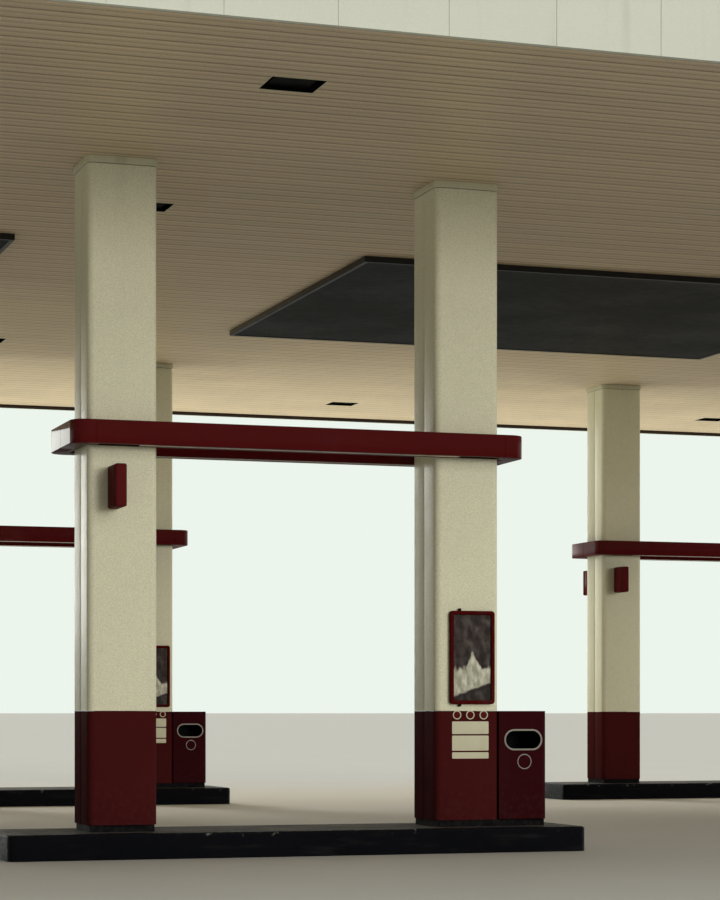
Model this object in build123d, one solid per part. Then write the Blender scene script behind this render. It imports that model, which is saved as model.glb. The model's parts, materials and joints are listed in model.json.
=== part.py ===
from build123d import *
from math import cos, pi, sin
import os

# A filling station canopy: a flat rectangular roof on two rows of column pairs.
# Each pair of square clad columns stands on its own kerbed island and is tied together
# by a box band that runs round both columns at a little over head height.
# Small rounded corners are drawn as a few flats, because they repeat many times.
# Sizes are in millimetres. +X runs along the islands, +Y from the near row of columns
# to the far row, +Z up. The origin is on the ground, under the middle of the roof.

# Layout of the islands and columns
ISLANDS_ALONG = 3
ISLAND_PITCH = 10020
ROW_SPACING = 11760
PAIR_SPACING = 3112

# Islands
ISLAND_LENGTH = 5164
ISLAND_WIDTH = 1168
ISLAND_HEIGHT = 217
ISLAND_CORNER = 70
KERB_WIDTH = 125
KERB_NOSE = 15

# Columns: steel post inside, sheet cladding outside
POST_SIDE = 300
POST_WALL = 12.5
BASE_PLATE = 480
BASE_PLATE_THICKNESS = 30
CAP_PLATE = 400
CAP_PLATE_THICKNESS = 20
COLUMN_SIDE = 600
COLUMN_CORNER = 60
CLADDING_SHEET = 3
SEAM_GAP = 4
SEAM_FLANGE = 40
DADO_TOP = 1240
PLINTH_HEIGHT = 60
PLINTH_SETBACK = 22
PLINTH_WALL = 20
CORNER_FLAT_COUNT = 2
COLLAR_HEIGHT = 60
COLLAR_PROUD = 12

# Box band round each pair of columns
BAND_BOTTOM = 3470
BAND_HEIGHT = 200
BAND_DEPTH = 200
BAND_SIDE_GAP = 20
BAND_END_DEPTH = 150
BAND_END_GAP = 24
BAND_END_LENGTH = 200
BAND_CORNER = 140
BAND_FLAT_COUNT = 4
BAND_SHEET = 3
BAND_SLOT_LENGTH = 2840
BAND_SLOT_WIDTH = 120
DIFFUSER_LAP = 15
DIFFUSER_SHEET = 4
BRACKET_LENGTH = 200
BRACKET_HEIGHT = 120

# Flag signs on the left column of each pair
FLAG_WIDTH = 100
FLAG_REACH = 310
FLAG_HEIGHT = 360
FLAG_BOTTOM = 2940
FLAG_EDGE = 22
FLAG_FRONT_SHIFT = -85
FLAG_BACK_SHIFT = -165

# Poster frames on the right column of each pair
POSTER_WIDTH = 430
POSTER_HEIGHT = 825
POSTER_BOTTOM = 1300
POSTER_SHIFT = 39
POSTER_CORNER = 30
POSTER_RAIL = 34
POSTER_DEPTH = 45
POSTER_BOARD = 25
POSTER_PANE = 4

# Waste bin housing beside the right column of each pair
BIN_LENGTH = 464
BIN_DEPTH = 600
BIN_CORNER = 60
BIN_WALL = 4
MOUTH_LENGTH = 334
MOUTH_HEIGHT = 158
MOUTH_CENTRE = 984
MOUTH_FLAT_COUNT = 3
RIM_WIDTH = 16
RIM_PROUD = 6

# Soffit, recessed lights and dropped panels
SOFFIT_BOTTOM = 5917
SOFFIT_THICKNESS = 30
POST_HOLE_CLEARANCE = 5
LIGHTS_ALONG = 5
LIGHT_PITCH = 6220
LIGHT_SHIFT = -890
LIGHT_INNER_ROW = 4280
LIGHT_OUTER_ROW = 8900
LIGHT_LENGTH = 400
LIGHT_WIDTH = 380
LIGHT_FLANGE = 15
LIGHT_SHEET = 3
LIGHT_DEPTH = 110
LIGHT_CLEARANCE = 1
LENS_RECESS = 25
LENS_SHEET = 5
DROPPED_START = 1810
DROPPED_LENGTH = 6400
DROPPED_WIDTH = 5200
DROPPED_FALL = 60
DROPPED_FLANGE = 45
DROPPED_SHEET = 6
DROPPED_BOARD = 18

# Roof steel and deck
POST_TOP = 6027
PRIMARY_DEPTH = 450
PRIMARY_WIDTH = 200
SECONDARY_DEPTH = 300
SECONDARY_WIDTH = 150
SECONDARY_COUNT = 9
SECONDARY_END = 950
BEAM_FLANGE = 15
BEAM_WEB = 10
HANGER_OFFSETS = (-7400, -3000, 0, 3000, 7400)
HANGER_WIDTH = 30
HANGER_SHEET = 5
DECK_RIB_PITCH = 400
DECK_RIB_HEIGHT = 85
DECK_RIB_TOP = 150
DECK_RIB_SLOPE = 50
DECK_SHEET = 3

# Fascia round the roof edge
CANOPY_LENGTH = 32000
CANOPY_WIDTH = 21340
FASCIA_THICKNESS = 50
FASCIA_DROP = 50
PARAPET_RISE = 138
TRIM_LEG = 40
TRIM_SHEET = 3
COPING_CLEARANCE = 2
COPING_SHEET = 3
COPING_LEG = 40

# Places worked out from the sizes above
ROWS = (-ROW_SPACING / 2, ROW_SPACING / 2)
ISLAND_XS = [(i - (ISLANDS_ALONG - 1) / 2) * ISLAND_PITCH for i in range(ISLANDS_ALONG)]
COLUMN_SHIFTS = (-PAIR_SPACING / 2, PAIR_SPACING / 2)
COLUMN_FACE = COLUMN_SIDE / 2
BAND_TOP = BAND_BOTTOM + BAND_HEIGHT
SOFFIT_TOP = SOFFIT_BOTTOM + SOFFIT_THICKNESS
PRIMARY_TOP = POST_TOP + PRIMARY_DEPTH
SECONDARY_TOP = PRIMARY_TOP + SECONDARY_DEPTH
FASCIA_BOTTOM = SOFFIT_BOTTOM - FASCIA_DROP
FASCIA_TOP = SECONDARY_TOP + DECK_RIB_HEIGHT + PARAPET_RISE
CLADDING_BOTTOM = ISLAND_HEIGHT + PLINTH_HEIGHT
CLADDING_TOP = SOFFIT_BOTTOM - COLLAR_HEIGHT
INNER_LENGTH = CANOPY_LENGTH - 2 * FASCIA_THICKNESS
INNER_WIDTH = CANOPY_WIDTH - 2 * FASCIA_THICKNESS


def save(shapes, name):
    """Writes one node: its separate solids go into one file."""
    export_step(Compound(list(shapes)), f"parts/{name}.step")


def block(length, width, height, x=0, y=0, z=0):
    """A plain block centred on x and y, standing on z."""
    return Pos(x, y, z + height / 2) * Box(length, width, height)


def prism(face, bottom, top):
    """A plan outline carried straight up from bottom to top."""
    return Pos(0, 0, bottom) * extrude(face, top - bottom)


def upright(face, near, far):
    """An outline stood up in the X-Z plane, carried forward from near to far."""
    return Pos(0, -near, 0) * (Rot(90, 0, 0) * extrude(face, far - near))


def rounded(length, width, radius, count=CORNER_FLAT_COUNT, corners=(0, 1, 2, 3)):
    """A rectangle whose corners are rounded, each by a few flats on its arc.
    The corners are counted anticlockwise from +X+Y; one that isn't named stays square."""
    points = []
    for corner in range(4):
        side_x = 1 if corner in (0, 3) else -1
        side_y = 1 if corner in (0, 1) else -1
        if corner not in corners:
            points.append((side_x * length / 2, side_y * width / 2))
            continue
        for i in range(count + 1):
            angle = (corner + i / count) * pi / 2
            x = side_x * (length / 2 - radius) + radius * cos(angle)
            y = side_y * (width / 2 - radius) + radius * sin(angle)
            points.append((x, y))
    apart = [p for i, p in enumerate(points) if (Vector(p) - Vector(points[i - 1])).length > 0.01]
    return make_face(Polyline(*apart, close=True))


def at_islands(shape, rows=ROWS):
    """Copies of a shape made about an island's centre, one on each island of the rows."""
    return [Pos(x, y, 0) * shape for y in rows for x in ISLAND_XS]


def at_columns(shape, rows=ROWS, shifts=COLUMN_SHIFTS):
    """Copies of a shape made about a column's axis, one on each chosen column."""
    return [Pos(x + s, y, 0) * shape for y in rows for x in ISLAND_XS for s in shifts]


# Islands: a cast kerb round a paved infill
def kerb():
    outline = rounded(ISLAND_LENGTH, ISLAND_WIDTH, ISLAND_CORNER)
    infill = Rectangle(ISLAND_LENGTH - 2 * KERB_WIDTH, ISLAND_WIDTH - 2 * KERB_WIDTH)
    body = prism(outline, 0, ISLAND_HEIGHT)
    body = chamfer(body.faces().sort_by(Axis.Z)[-1].edges(), KERB_NOSE)
    return body - prism(infill, 0, ISLAND_HEIGHT)


def island_slab():
    return block(ISLAND_LENGTH - 2 * KERB_WIDTH, ISLAND_WIDTH - 2 * KERB_WIDTH, ISLAND_HEIGHT)


# Columns
def post():
    bore = POST_SIDE - 2 * POST_WALL
    tube = Rectangle(POST_SIDE, POST_SIDE) - Rectangle(bore, bore)
    shaft_bottom = ISLAND_HEIGHT + BASE_PLATE_THICKNESS
    shaft_top = POST_TOP - CAP_PLATE_THICKNESS
    return (
        block(BASE_PLATE, BASE_PLATE, BASE_PLATE_THICKNESS, z=ISLAND_HEIGHT)
        + prism(tube, shaft_bottom, shaft_top)
        + block(CAP_PLATE, CAP_PLATE, CAP_PLATE_THICKNESS, z=shaft_top)
    )


def cladding_half(side):
    """Plan of one bent sheet: half of a rounded square, with a flange turned in at each seam."""
    inner = COLUMN_SIDE - 2 * CLADDING_SHEET
    ring = rounded(COLUMN_SIDE, COLUMN_SIDE, COLUMN_CORNER)
    ring -= rounded(inner, inner, COLUMN_CORNER - CLADDING_SHEET)
    reach = COLUMN_FACE - SEAM_GAP / 2
    half = ring & Pos(0, side * (SEAM_GAP / 2 + reach / 2)) * Rectangle(COLUMN_SIDE, reach)
    for edge in (-1, 1):
        x = edge * (COLUMN_FACE - SEAM_FLANGE / 2)
        y = side * (SEAM_GAP / 2 + CLADDING_SHEET / 2)
        half += Pos(x, y) * Rectangle(SEAM_FLANGE, CLADDING_SHEET)
    return half


def plinth():
    """Recessed ring under the cladding: the sheets stand on it with their seam flanges."""
    outer = COLUMN_SIDE - 2 * PLINTH_SETBACK
    bore = outer - 2 * PLINTH_WALL
    ring = Rectangle(outer, outer) - Rectangle(bore, bore)
    return prism(ring, ISLAND_HEIGHT, CLADDING_BOTTOM)


def collar():
    """Head plate between the cladding's top edge and the soffit, proud of the cladding."""
    side = COLUMN_SIDE + 2 * COLLAR_PROUD
    hole = POST_SIDE + 2 * POST_HOLE_CLEARANCE
    face = rounded(side, side, COLUMN_CORNER + COLLAR_PROUD) - Rectangle(hole, hole)
    return prism(face, CLADDING_TOP, SOFFIT_BOTTOM)


# Box band: a hollow ring of bent sheet in four lengths
BAND_HALF_LENGTH = PAIR_SPACING / 2 + COLUMN_FACE + BAND_END_GAP + BAND_END_DEPTH
BAND_HALF_WIDTH = COLUMN_FACE + BAND_SIDE_GAP + BAND_DEPTH
BAND_STRAIGHT = BAND_HALF_LENGTH - BAND_END_LENGTH


def band_plan(inset):
    """Plan of the band, with every edge drawn in by inset."""
    length, width = 2 * (BAND_HALF_LENGTH - inset), 2 * (BAND_HALF_WIDTH - inset)
    end_depth, side_depth = BAND_END_DEPTH - 2 * inset, BAND_DEPTH - 2 * inset
    outline = rounded(length, width, BAND_CORNER - inset, BAND_FLAT_COUNT)
    return outline - Rectangle(length - 2 * end_depth, width - 2 * side_depth)


def band_ring():
    ring = prism(band_plan(0), BAND_BOTTOM, BAND_TOP)
    ring -= prism(band_plan(BAND_SHEET), BAND_BOTTOM + BAND_SHEET, BAND_TOP - BAND_SHEET)
    slot_line = BAND_HALF_WIDTH - BAND_DEPTH / 2
    for side in (-1, 1):
        ring -= block(
            BAND_SLOT_LENGTH, BAND_SLOT_WIDTH, BAND_SHEET, y=side * slot_line, z=BAND_BOTTOM
        )
    return ring


def band_length(ring, side):
    y = side * BAND_HALF_WIDTH / 2
    return ring & block(2 * BAND_STRAIGHT, BAND_HALF_WIDTH, BAND_HEIGHT, y=y, z=BAND_BOTTOM)


def band_end(ring, side):
    x = side * (BAND_STRAIGHT + BAND_END_LENGTH / 2)
    return ring & block(BAND_END_LENGTH, 2 * BAND_HALF_WIDTH, BAND_HEIGHT, x=x, z=BAND_BOTTOM)


def diffuser(side):
    y = side * (BAND_HALF_WIDTH - BAND_DEPTH / 2)
    length = BAND_SLOT_LENGTH + 2 * DIFFUSER_LAP
    width = BAND_SLOT_WIDTH + 2 * DIFFUSER_LAP
    return block(length, width, DIFFUSER_SHEET, y=y, z=BAND_BOTTOM + BAND_SHEET)


def band_brackets():
    """Spacers between one column of a pair and the band, made about the island's centre."""
    z = BAND_BOTTOM + (BAND_HEIGHT - BRACKET_HEIGHT) / 2
    pieces = []
    for shift in COLUMN_SHIFTS:
        for side in (-1, 1):
            y = side * (COLUMN_FACE + BAND_SIDE_GAP / 2)
            pieces.append(block(BRACKET_LENGTH, BAND_SIDE_GAP, BRACKET_HEIGHT, shift, y, z))
        outward = 1 if shift > 0 else -1
        x = shift + outward * (COLUMN_FACE + BAND_END_GAP / 2)
        pieces.append(block(BAND_END_GAP, BRACKET_LENGTH, BRACKET_HEIGHT, x, 0, z))
    return pieces


# Fittings on the columns
def flag_sign(shift, side):
    """A light box on edge against the column, rounded at its two outer corners."""
    outer_corners = (0, 1) if side > 0 else (2, 3)
    plan = rounded(FLAG_WIDTH, FLAG_REACH, FLAG_EDGE, corners=outer_corners)
    body = prism(plan, FLAG_BOTTOM, FLAG_BOTTOM + FLAG_HEIGHT)
    return Pos(shift, side * (COLUMN_FACE + FLAG_REACH / 2), 0) * body


def poster(piece, side):
    opening_width = POSTER_WIDTH - 2 * POSTER_RAIL
    opening_height = POSTER_HEIGHT - 2 * POSTER_RAIL
    opening = Rectangle(opening_width, opening_height)
    if piece == "frame":
        outline = rounded(POSTER_WIDTH, POSTER_HEIGHT, POSTER_CORNER)
        body = upright(outline - opening, 0, POSTER_DEPTH)
    elif piece == "board":
        body = upright(opening, 0, POSTER_BOARD)
    else:
        body = upright(opening, POSTER_BOARD, POSTER_BOARD + POSTER_PANE)
    if side > 0:
        body = mirror(body, Plane.XZ)
    z = POSTER_BOTTOM + POSTER_HEIGHT / 2
    return Pos(POSTER_SHIFT, side * COLUMN_FACE, z) * body


# Bin housing: a closed sheet box with an oval mouth at the front and at the back
BIN_CENTRE = COLUMN_FACE + BIN_LENGTH / 2


def bin_plan(inset):
    """Plan of the bin: square against the column, rounded at its two free corners."""
    length, depth = BIN_LENGTH - 2 * inset, BIN_DEPTH - 2 * inset
    return Pos(BIN_CENTRE, 0) * rounded(length, depth, BIN_CORNER - inset, corners=(0, 3))


def mouth(grow, near, far):
    """The bin's mouth, round-ended and grown all round, between two depths before its front."""
    height = MOUTH_HEIGHT + 2 * grow
    outline = rounded(MOUTH_LENGTH + 2 * grow, height, height / 2, MOUTH_FLAT_COUNT)
    return Pos(BIN_CENTRE, -BIN_DEPTH / 2, MOUTH_CENTRE) * upright(outline, near, far)


def bin_housing():
    body = prism(bin_plan(0), CLADDING_BOTTOM, DADO_TOP)
    body -= prism(bin_plan(BIN_WALL), CLADDING_BOTTOM + BIN_WALL, DADO_TOP - BIN_WALL)
    front = mouth(0, -BIN_WALL, 0)
    return body - front - mirror(front, Plane.XZ)


def bin_plinth():
    """Recessed foot under the bin, standing against the column's plinth."""
    depth = BIN_DEPTH - 2 * PLINTH_SETBACK
    x = BIN_CENTRE - PLINTH_SETBACK
    return block(BIN_LENGTH, depth, PLINTH_HEIGHT, x=x, z=ISLAND_HEIGHT)


def bin_rim():
    return mouth(RIM_WIDTH, 0, RIM_PROUD) - mouth(0, 0, RIM_PROUD)


# Soffit and what hangs in it
LIGHT_XS = [
    LIGHT_SHIFT + (i - (LIGHTS_ALONG - 1) / 2) * LIGHT_PITCH for i in range(LIGHTS_ALONG)
]
LIGHT_YS = (-LIGHT_OUTER_ROW, -LIGHT_INNER_ROW, LIGHT_INNER_ROW, LIGHT_OUTER_ROW)


def soffit_field(low, high):
    """One field of the soffit between two lines across the canopy, with its cut-outs."""
    field = block(INNER_LENGTH, high - low, SOFFIT_THICKNESS, y=(low + high) / 2, z=SOFFIT_BOTTOM)
    hole = POST_SIDE + 2 * POST_HOLE_CLEARANCE
    cuts = at_columns(block(hole, hole, SOFFIT_THICKNESS, z=SOFFIT_BOTTOM))
    body_length = LIGHT_LENGTH - 2 * LIGHT_FLANGE
    body_width = LIGHT_WIDTH - 2 * LIGHT_FLANGE
    for x in LIGHT_XS:
        for y in LIGHT_YS:
            cuts.append(block(body_length, body_width, SOFFIT_THICKNESS, x, y, SOFFIT_BOTTOM))
    return field - Compound(cuts)


def at_lights(shape):
    return [Pos(x, y, 0) * shape for x in LIGHT_XS for y in LIGHT_YS]


def light_body_size():
    fit = 2 * (LIGHT_FLANGE + LIGHT_CLEARANCE)
    return LIGHT_LENGTH - fit, LIGHT_WIDTH - fit


def light_housing():
    length, width = light_body_size()
    flange_bottom = SOFFIT_BOTTOM - LIGHT_SHEET
    top = SOFFIT_BOTTOM + LIGHT_DEPTH
    body = block(LIGHT_LENGTH, LIGHT_WIDTH, LIGHT_SHEET, z=flange_bottom)
    body += block(length, width, LIGHT_DEPTH, z=SOFFIT_BOTTOM)
    hollow = top - LIGHT_SHEET - flange_bottom
    return body - block(
        length - 2 * LIGHT_SHEET, width - 2 * LIGHT_SHEET, hollow, z=flange_bottom
    )


def light_lens():
    length, width = light_body_size()
    fit = 2 * LIGHT_SHEET
    return block(length - fit, width - fit, LENS_SHEET, z=SOFFIT_BOTTOM + LENS_RECESS)


def at_dropped(shape):
    centre = DROPPED_START + DROPPED_LENGTH / 2
    return [Pos(side * centre, 0, 0) * shape for side in (-1, 1)]


def dropped_frame():
    """An angle frame under the soffit: an upstand all round with a flange turned in."""
    bottom = SOFFIT_BOTTOM - DROPPED_FALL
    body = block(DROPPED_LENGTH, DROPPED_WIDTH, DROPPED_FALL, z=bottom)
    body -= block(
        DROPPED_LENGTH - 2 * DROPPED_SHEET,
        DROPPED_WIDTH - 2 * DROPPED_SHEET,
        DROPPED_FALL - DROPPED_SHEET,
        z=bottom + DROPPED_SHEET,
    )
    return body - block(
        DROPPED_LENGTH - 2 * DROPPED_FLANGE,
        DROPPED_WIDTH - 2 * DROPPED_FLANGE,
        DROPPED_SHEET,
        z=bottom,
    )


def dropped_board():
    bottom = SOFFIT_BOTTOM - DROPPED_FALL + DROPPED_SHEET
    fit = 2 * DROPPED_SHEET
    return block(DROPPED_LENGTH - fit, DROPPED_WIDTH - fit, DROPPED_BOARD, z=bottom)


# Roof steel
def beam_section(depth, width):
    """Outline of a rolled beam: a web between two flanges."""
    flange_line = (depth - BEAM_FLANGE) / 2
    section = Rectangle(BEAM_WEB, depth)
    for side in (-1, 1):
        section += Pos(0, side * flange_line) * Rectangle(width, BEAM_FLANGE)
    return section


def beam_along_x(depth, width, length, y, bottom):
    solid = Rot(0, 0, 90) * Rot(90, 0, 0) * extrude(beam_section(depth, width), length)
    return Pos(-length / 2, y, bottom + depth / 2) * solid


def beam_along_y(depth, width, length, x, bottom):
    solid = Rot(90, 0, 0) * extrude(beam_section(depth, width), length)
    return Pos(x, length / 2, bottom + depth / 2) * solid


SECONDARY_REACH = INNER_LENGTH / 2 - SECONDARY_END
SECONDARY_XS = [
    (2 * i / (SECONDARY_COUNT - 1) - 1) * SECONDARY_REACH for i in range(SECONDARY_COUNT)
]


def hanger(x, y):
    return block(HANGER_SHEET, HANGER_WIDTH, PRIMARY_TOP - SOFFIT_TOP, x, y, SOFFIT_TOP)


def roof_deck():
    """A ribbed sheet: one trapezoid for each rib, repeated across the roof."""
    ribs = int(INNER_WIDTH // DECK_RIB_PITCH)
    start = -ribs * DECK_RIB_PITCH / 2
    valley = DECK_RIB_PITCH - DECK_RIB_TOP - 2 * DECK_RIB_SLOPE
    top_line = [(-INNER_WIDTH / 2, DECK_SHEET)]
    for i in range(ribs):
        foot = start + i * DECK_RIB_PITCH + valley / 2
        crest = foot + DECK_RIB_SLOPE
        top_line += [
            (foot, DECK_SHEET),
            (crest, DECK_RIB_HEIGHT),
            (crest + DECK_RIB_TOP, DECK_RIB_HEIGHT),
            (crest + DECK_RIB_TOP + DECK_RIB_SLOPE, DECK_SHEET),
        ]
    top_line.append((INNER_WIDTH / 2, DECK_SHEET))
    under_line = [(y, z - DECK_SHEET) for y, z in reversed(top_line)]
    section = make_face(Polyline(*top_line, *under_line, close=True))
    sheet = Rot(0, 0, 90) * Rot(90, 0, 0) * extrude(section, INNER_LENGTH)
    return Pos(-INNER_LENGTH / 2, 0, SECONDARY_TOP) * sheet


# Roof edge
def fascia(side_name):
    height = FASCIA_TOP - FASCIA_BOTTOM
    if side_name in ("front", "back"):
        line = (CANOPY_WIDTH - FASCIA_THICKNESS) / 2
        y = -line if side_name == "front" else line
        return block(CANOPY_LENGTH, FASCIA_THICKNESS, height, y=y, z=FASCIA_BOTTOM)
    line = (CANOPY_LENGTH - FASCIA_THICKNESS) / 2
    x = -line if side_name == "left" else line
    return block(FASCIA_THICKNESS, INNER_WIDTH, height, x=x, z=FASCIA_BOTTOM)


def edge_corners(inset):
    """The roof's four corners in plan, drawn in by inset from its edge."""
    x, y = CANOPY_LENGTH / 2 - inset, CANOPY_WIDTH / 2 - inset
    return [(-x, -y), (x, -y), (x, y), (-x, y)]


def edge_strip(side, outer_inset, inner_inset, bottom, top):
    """One side of a flat ring along the roof's edge, mitred at both ends."""
    outer, inner = edge_corners(outer_inset), edge_corners(inner_inset)
    following = (side + 1) % 4
    outline = Polyline(outer[side], outer[following], inner[following], inner[side], close=True)
    return prism(make_face(outline), bottom, top)


def perimeter_trim(side):
    """Angle in the corner of soffit and fascia: one leg down, one leg under the soffit."""
    edge = FASCIA_THICKNESS
    leg_top = SOFFIT_BOTTOM - TRIM_SHEET
    upright_leg = edge_strip(side, edge, edge + TRIM_SHEET, FASCIA_BOTTOM, leg_top)
    return upright_leg + edge_strip(side, edge, edge + TRIM_LEG, leg_top, SOFFIT_BOTTOM)


def coping(side):
    """A folded cap over the fascia's top edge, with a leg down each face."""
    outside = -COPING_CLEARANCE - COPING_SHEET
    inside = FASCIA_THICKNESS - outside
    leg_bottom = FASCIA_TOP - COPING_LEG
    outer_leg = edge_strip(side, outside, outside + COPING_SHEET, leg_bottom, FASCIA_TOP)
    inner_leg = edge_strip(side, inside - COPING_SHEET, inside, leg_bottom, FASCIA_TOP)
    cap = edge_strip(side, outside, inside, FASCIA_TOP, FASCIA_TOP + COPING_SHEET)
    return cap + outer_leg + inner_leg


# The whole canopy, one file for each node
def build():
    os.makedirs("parts", exist_ok=True)
    near, far = (ROWS[0],), (ROWS[1],)

    save(at_islands(kerb(), near), "kerbs_near")
    save(at_islands(kerb(), far), "kerbs_far")
    save(at_islands(island_slab()), "island_slabs")

    save(at_columns(post(), near), "posts_near")
    save(at_columns(post(), far), "posts_far")
    for side, name in ((-1, "front"), (1, "back")):
        plan = cladding_half(side)
        save(at_columns(prism(plan, CLADDING_BOTTOM, DADO_TOP)), f"dado_{name}_halves")
        upper = prism(plan, DADO_TOP, CLADDING_TOP)
        save(at_columns(upper, near), f"cladding_{name}_near")
        save(at_columns(upper, far), f"cladding_{name}_far")
    save(at_columns(plinth()), "column_plinths")
    save(at_columns(collar()), "collars")

    ring = band_ring()
    save(at_islands(band_length(ring, -1)), "band_front_lengths")
    save(at_islands(band_length(ring, 1)), "band_back_lengths")
    save(at_islands(band_end(ring, -1)), "band_left_ends")
    save(at_islands(band_end(ring, 1)), "band_right_ends")
    save(at_islands(diffuser(-1)) + at_islands(diffuser(1)), "band_diffusers")
    save([s for b in band_brackets() for s in at_islands(b)], "band_brackets")

    left, right = COLUMN_SHIFTS[:1], COLUMN_SHIFTS[1:]
    flags = at_columns(flag_sign(FLAG_FRONT_SHIFT, -1), ROWS, left)
    flags += at_columns(flag_sign(FLAG_BACK_SHIFT, 1), ROWS, left)
    save(flags, "flag_signs")
    for piece in ("frame", "board", "pane"):
        solids = [s for side in (-1, 1) for s in at_columns(poster(piece, side), ROWS, right)]
        save(solids, f"poster_{piece}s")
    save(at_columns(bin_housing(), ROWS, right), "bin_housings")
    save(at_columns(bin_plinth(), ROWS, right), "bin_plinths")
    rim = bin_rim()
    rims = at_columns(rim, ROWS, right) + at_columns(mirror(rim, Plane.XZ), ROWS, right)
    save(rims, "bin_rims")

    edge = INNER_WIDTH / 2
    save([soffit_field(-edge, ROWS[0])], "soffit_front")
    save([soffit_field(ROWS[0], ROWS[1])], "soffit_middle")
    save([soffit_field(ROWS[1], edge)], "soffit_back")
    save(at_lights(light_housing()), "light_housings")
    save(at_lights(light_lens()), "light_lenses")
    save(at_dropped(dropped_frame()), "dropped_frames")
    save(at_dropped(dropped_board()), "dropped_boards")

    primaries = [
        beam_along_x(PRIMARY_DEPTH, PRIMARY_WIDTH, INNER_LENGTH, y, POST_TOP) for y in ROWS
    ]
    save(primaries, "primary_beams")
    secondaries = [
        beam_along_y(SECONDARY_DEPTH, SECONDARY_WIDTH, INNER_WIDTH, x, PRIMARY_TOP)
        for x in SECONDARY_XS
    ]
    save(secondaries, "secondary_beams")
    save([hanger(x, y) for x in SECONDARY_XS for y in HANGER_OFFSETS], "soffit_hangers")
    save([roof_deck()], "roof_deck")

    for name in ("front", "back", "left", "right"):
        save([fascia(name)], f"fascia_{name}")
    save([perimeter_trim(side) for side in range(4)], "perimeter_trim")
    save([coping(side) for side in range(4)], "coping")


build()
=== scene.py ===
import json
import math

import bmesh
import bpy
import numpy as np
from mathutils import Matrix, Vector


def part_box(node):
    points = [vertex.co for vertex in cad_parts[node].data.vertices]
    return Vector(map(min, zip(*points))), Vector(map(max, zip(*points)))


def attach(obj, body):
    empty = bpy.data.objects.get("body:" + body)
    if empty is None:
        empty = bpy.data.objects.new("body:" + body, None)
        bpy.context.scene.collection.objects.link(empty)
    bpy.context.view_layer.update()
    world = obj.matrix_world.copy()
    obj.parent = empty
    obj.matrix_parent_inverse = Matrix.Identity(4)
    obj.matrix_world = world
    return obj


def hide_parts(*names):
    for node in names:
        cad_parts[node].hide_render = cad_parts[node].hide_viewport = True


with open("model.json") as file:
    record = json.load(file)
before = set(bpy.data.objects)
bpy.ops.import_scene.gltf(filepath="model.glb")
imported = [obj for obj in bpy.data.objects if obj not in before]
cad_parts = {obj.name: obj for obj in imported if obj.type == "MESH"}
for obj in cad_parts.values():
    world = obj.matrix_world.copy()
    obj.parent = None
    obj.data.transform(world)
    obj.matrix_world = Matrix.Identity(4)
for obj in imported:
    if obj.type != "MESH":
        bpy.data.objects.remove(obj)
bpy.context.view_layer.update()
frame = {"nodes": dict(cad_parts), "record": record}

# Layout along the islands and across the rows, read from the frame where it shows it
ISLAND_PITCH = 10.020
PAIR_SPACING = 3.112
NEAR_Y = sum(p.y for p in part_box("posts_near")) / 2
FAR_Y = sum(p.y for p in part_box("posts_far")) / 2
ISLANDS = np.array([(i * ISLAND_PITCH, y, 0.0) for y in (NEAR_Y, FAR_Y) for i in (-1, 0, 1)])
NEAR_ISLANDS, FAR_ISLANDS = np.split(ISLANDS, 2)
LEFT_COLUMNS = ISLANDS - (PAIR_SPACING / 2, 0, 0)
RIGHT_COLUMNS = ISLANDS + (PAIR_SPACING / 2, 0, 0)
COLUMNS = np.concatenate([LEFT_COLUMNS, RIGHT_COLUMNS])
NEAR_COLUMNS = COLUMNS[COLUMNS[:, 1] < 0]
FAR_COLUMNS = COLUMNS[COLUMNS[:, 1] > 0]

# Columns
COLUMN_SIDE = 0.600
HALF_SIDE = COLUMN_SIDE / 2
COLUMN_CORNER = 0.060
SHEET = 0.003
SEAM_GAP = 0.004
SEAM_FOLD = 0.011
SEAM_FLANGE = 0.040
DADO_JOINT = 0.002
COLLAR_PROUD = 0.012
COLLAR_EDGE = 0.004
COLLAR_SHADOW = 0.005
CLADDING_BOTTOM, DADO_TOP = (p.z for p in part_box("dado_front_halves"))
CLADDING_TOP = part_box("cladding_front_near")[1].z
SOFFIT_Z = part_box("soffit_middle")[0].z

# Box band
BAND_DEPTH = 0.200
BAND_END_DEPTH = 0.150
BAND_CORNER = 0.140
BAND_INNER_CORNER = 0.012
BAND_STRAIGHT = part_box("band_back_lengths")[1].x - ISLAND_PITCH
BAND_HALF_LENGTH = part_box("band_right_ends")[1].x - ISLAND_PITCH
BAND_HALF_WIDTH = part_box("band_back_lengths")[1].y - FAR_Y
BAND_BOTTOM, BAND_TOP = (p.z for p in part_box("band_front_lengths"))
BAND_EDGE = 0.007
BAND_STEPS = 12
BAND_JOINT = 0.002
BAND_SLOT_LENGTH = 2.840
BAND_SLOT_WIDTH = 0.120
BAND_SLOT_DEPTH = 0.008
BAND_SLOT_STOP = 0.030
DIFFUSER_LAP = 0.016
COVER_PLAY = 0.002
COVER_RECESS = 0.0045
END_SEAM_DEPTH = 0.004
END_SEAM_MOUTH = 0.0030
END_SEAM_FLOOR = 0.0012

# Flag signs
FLAG_WIDTH = 0.100
FLAG_REACH = 0.310
FLAG_BODY_REACH = 0.257
FLAG_GROOVE = 0.007
FLAG_CORE_INSET = 0.010
FLAG_BOTTOM, FLAG_TOP = (p.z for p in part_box("flag_signs"))
FLAG_SHIFTS = ((-1, -0.085), (1, -0.165))

# Posters
POSTER_WIDTH = 0.420
POSTER_HEIGHT = 0.825
POSTER_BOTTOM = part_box("poster_frames")[0].z
POSTER_SHIFT = 0.035
POSTER_CORNER = 0.030
POSTER_RAIL = 0.034
POSTER_DEPTH = 0.045
POSTER_SHEET = 0.024
CATCH_SHIFT = -0.115
CATCH_WIDTH = 0.022
CATCH_HEIGHT = 0.030
CATCH_PROUD = 0.006

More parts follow.
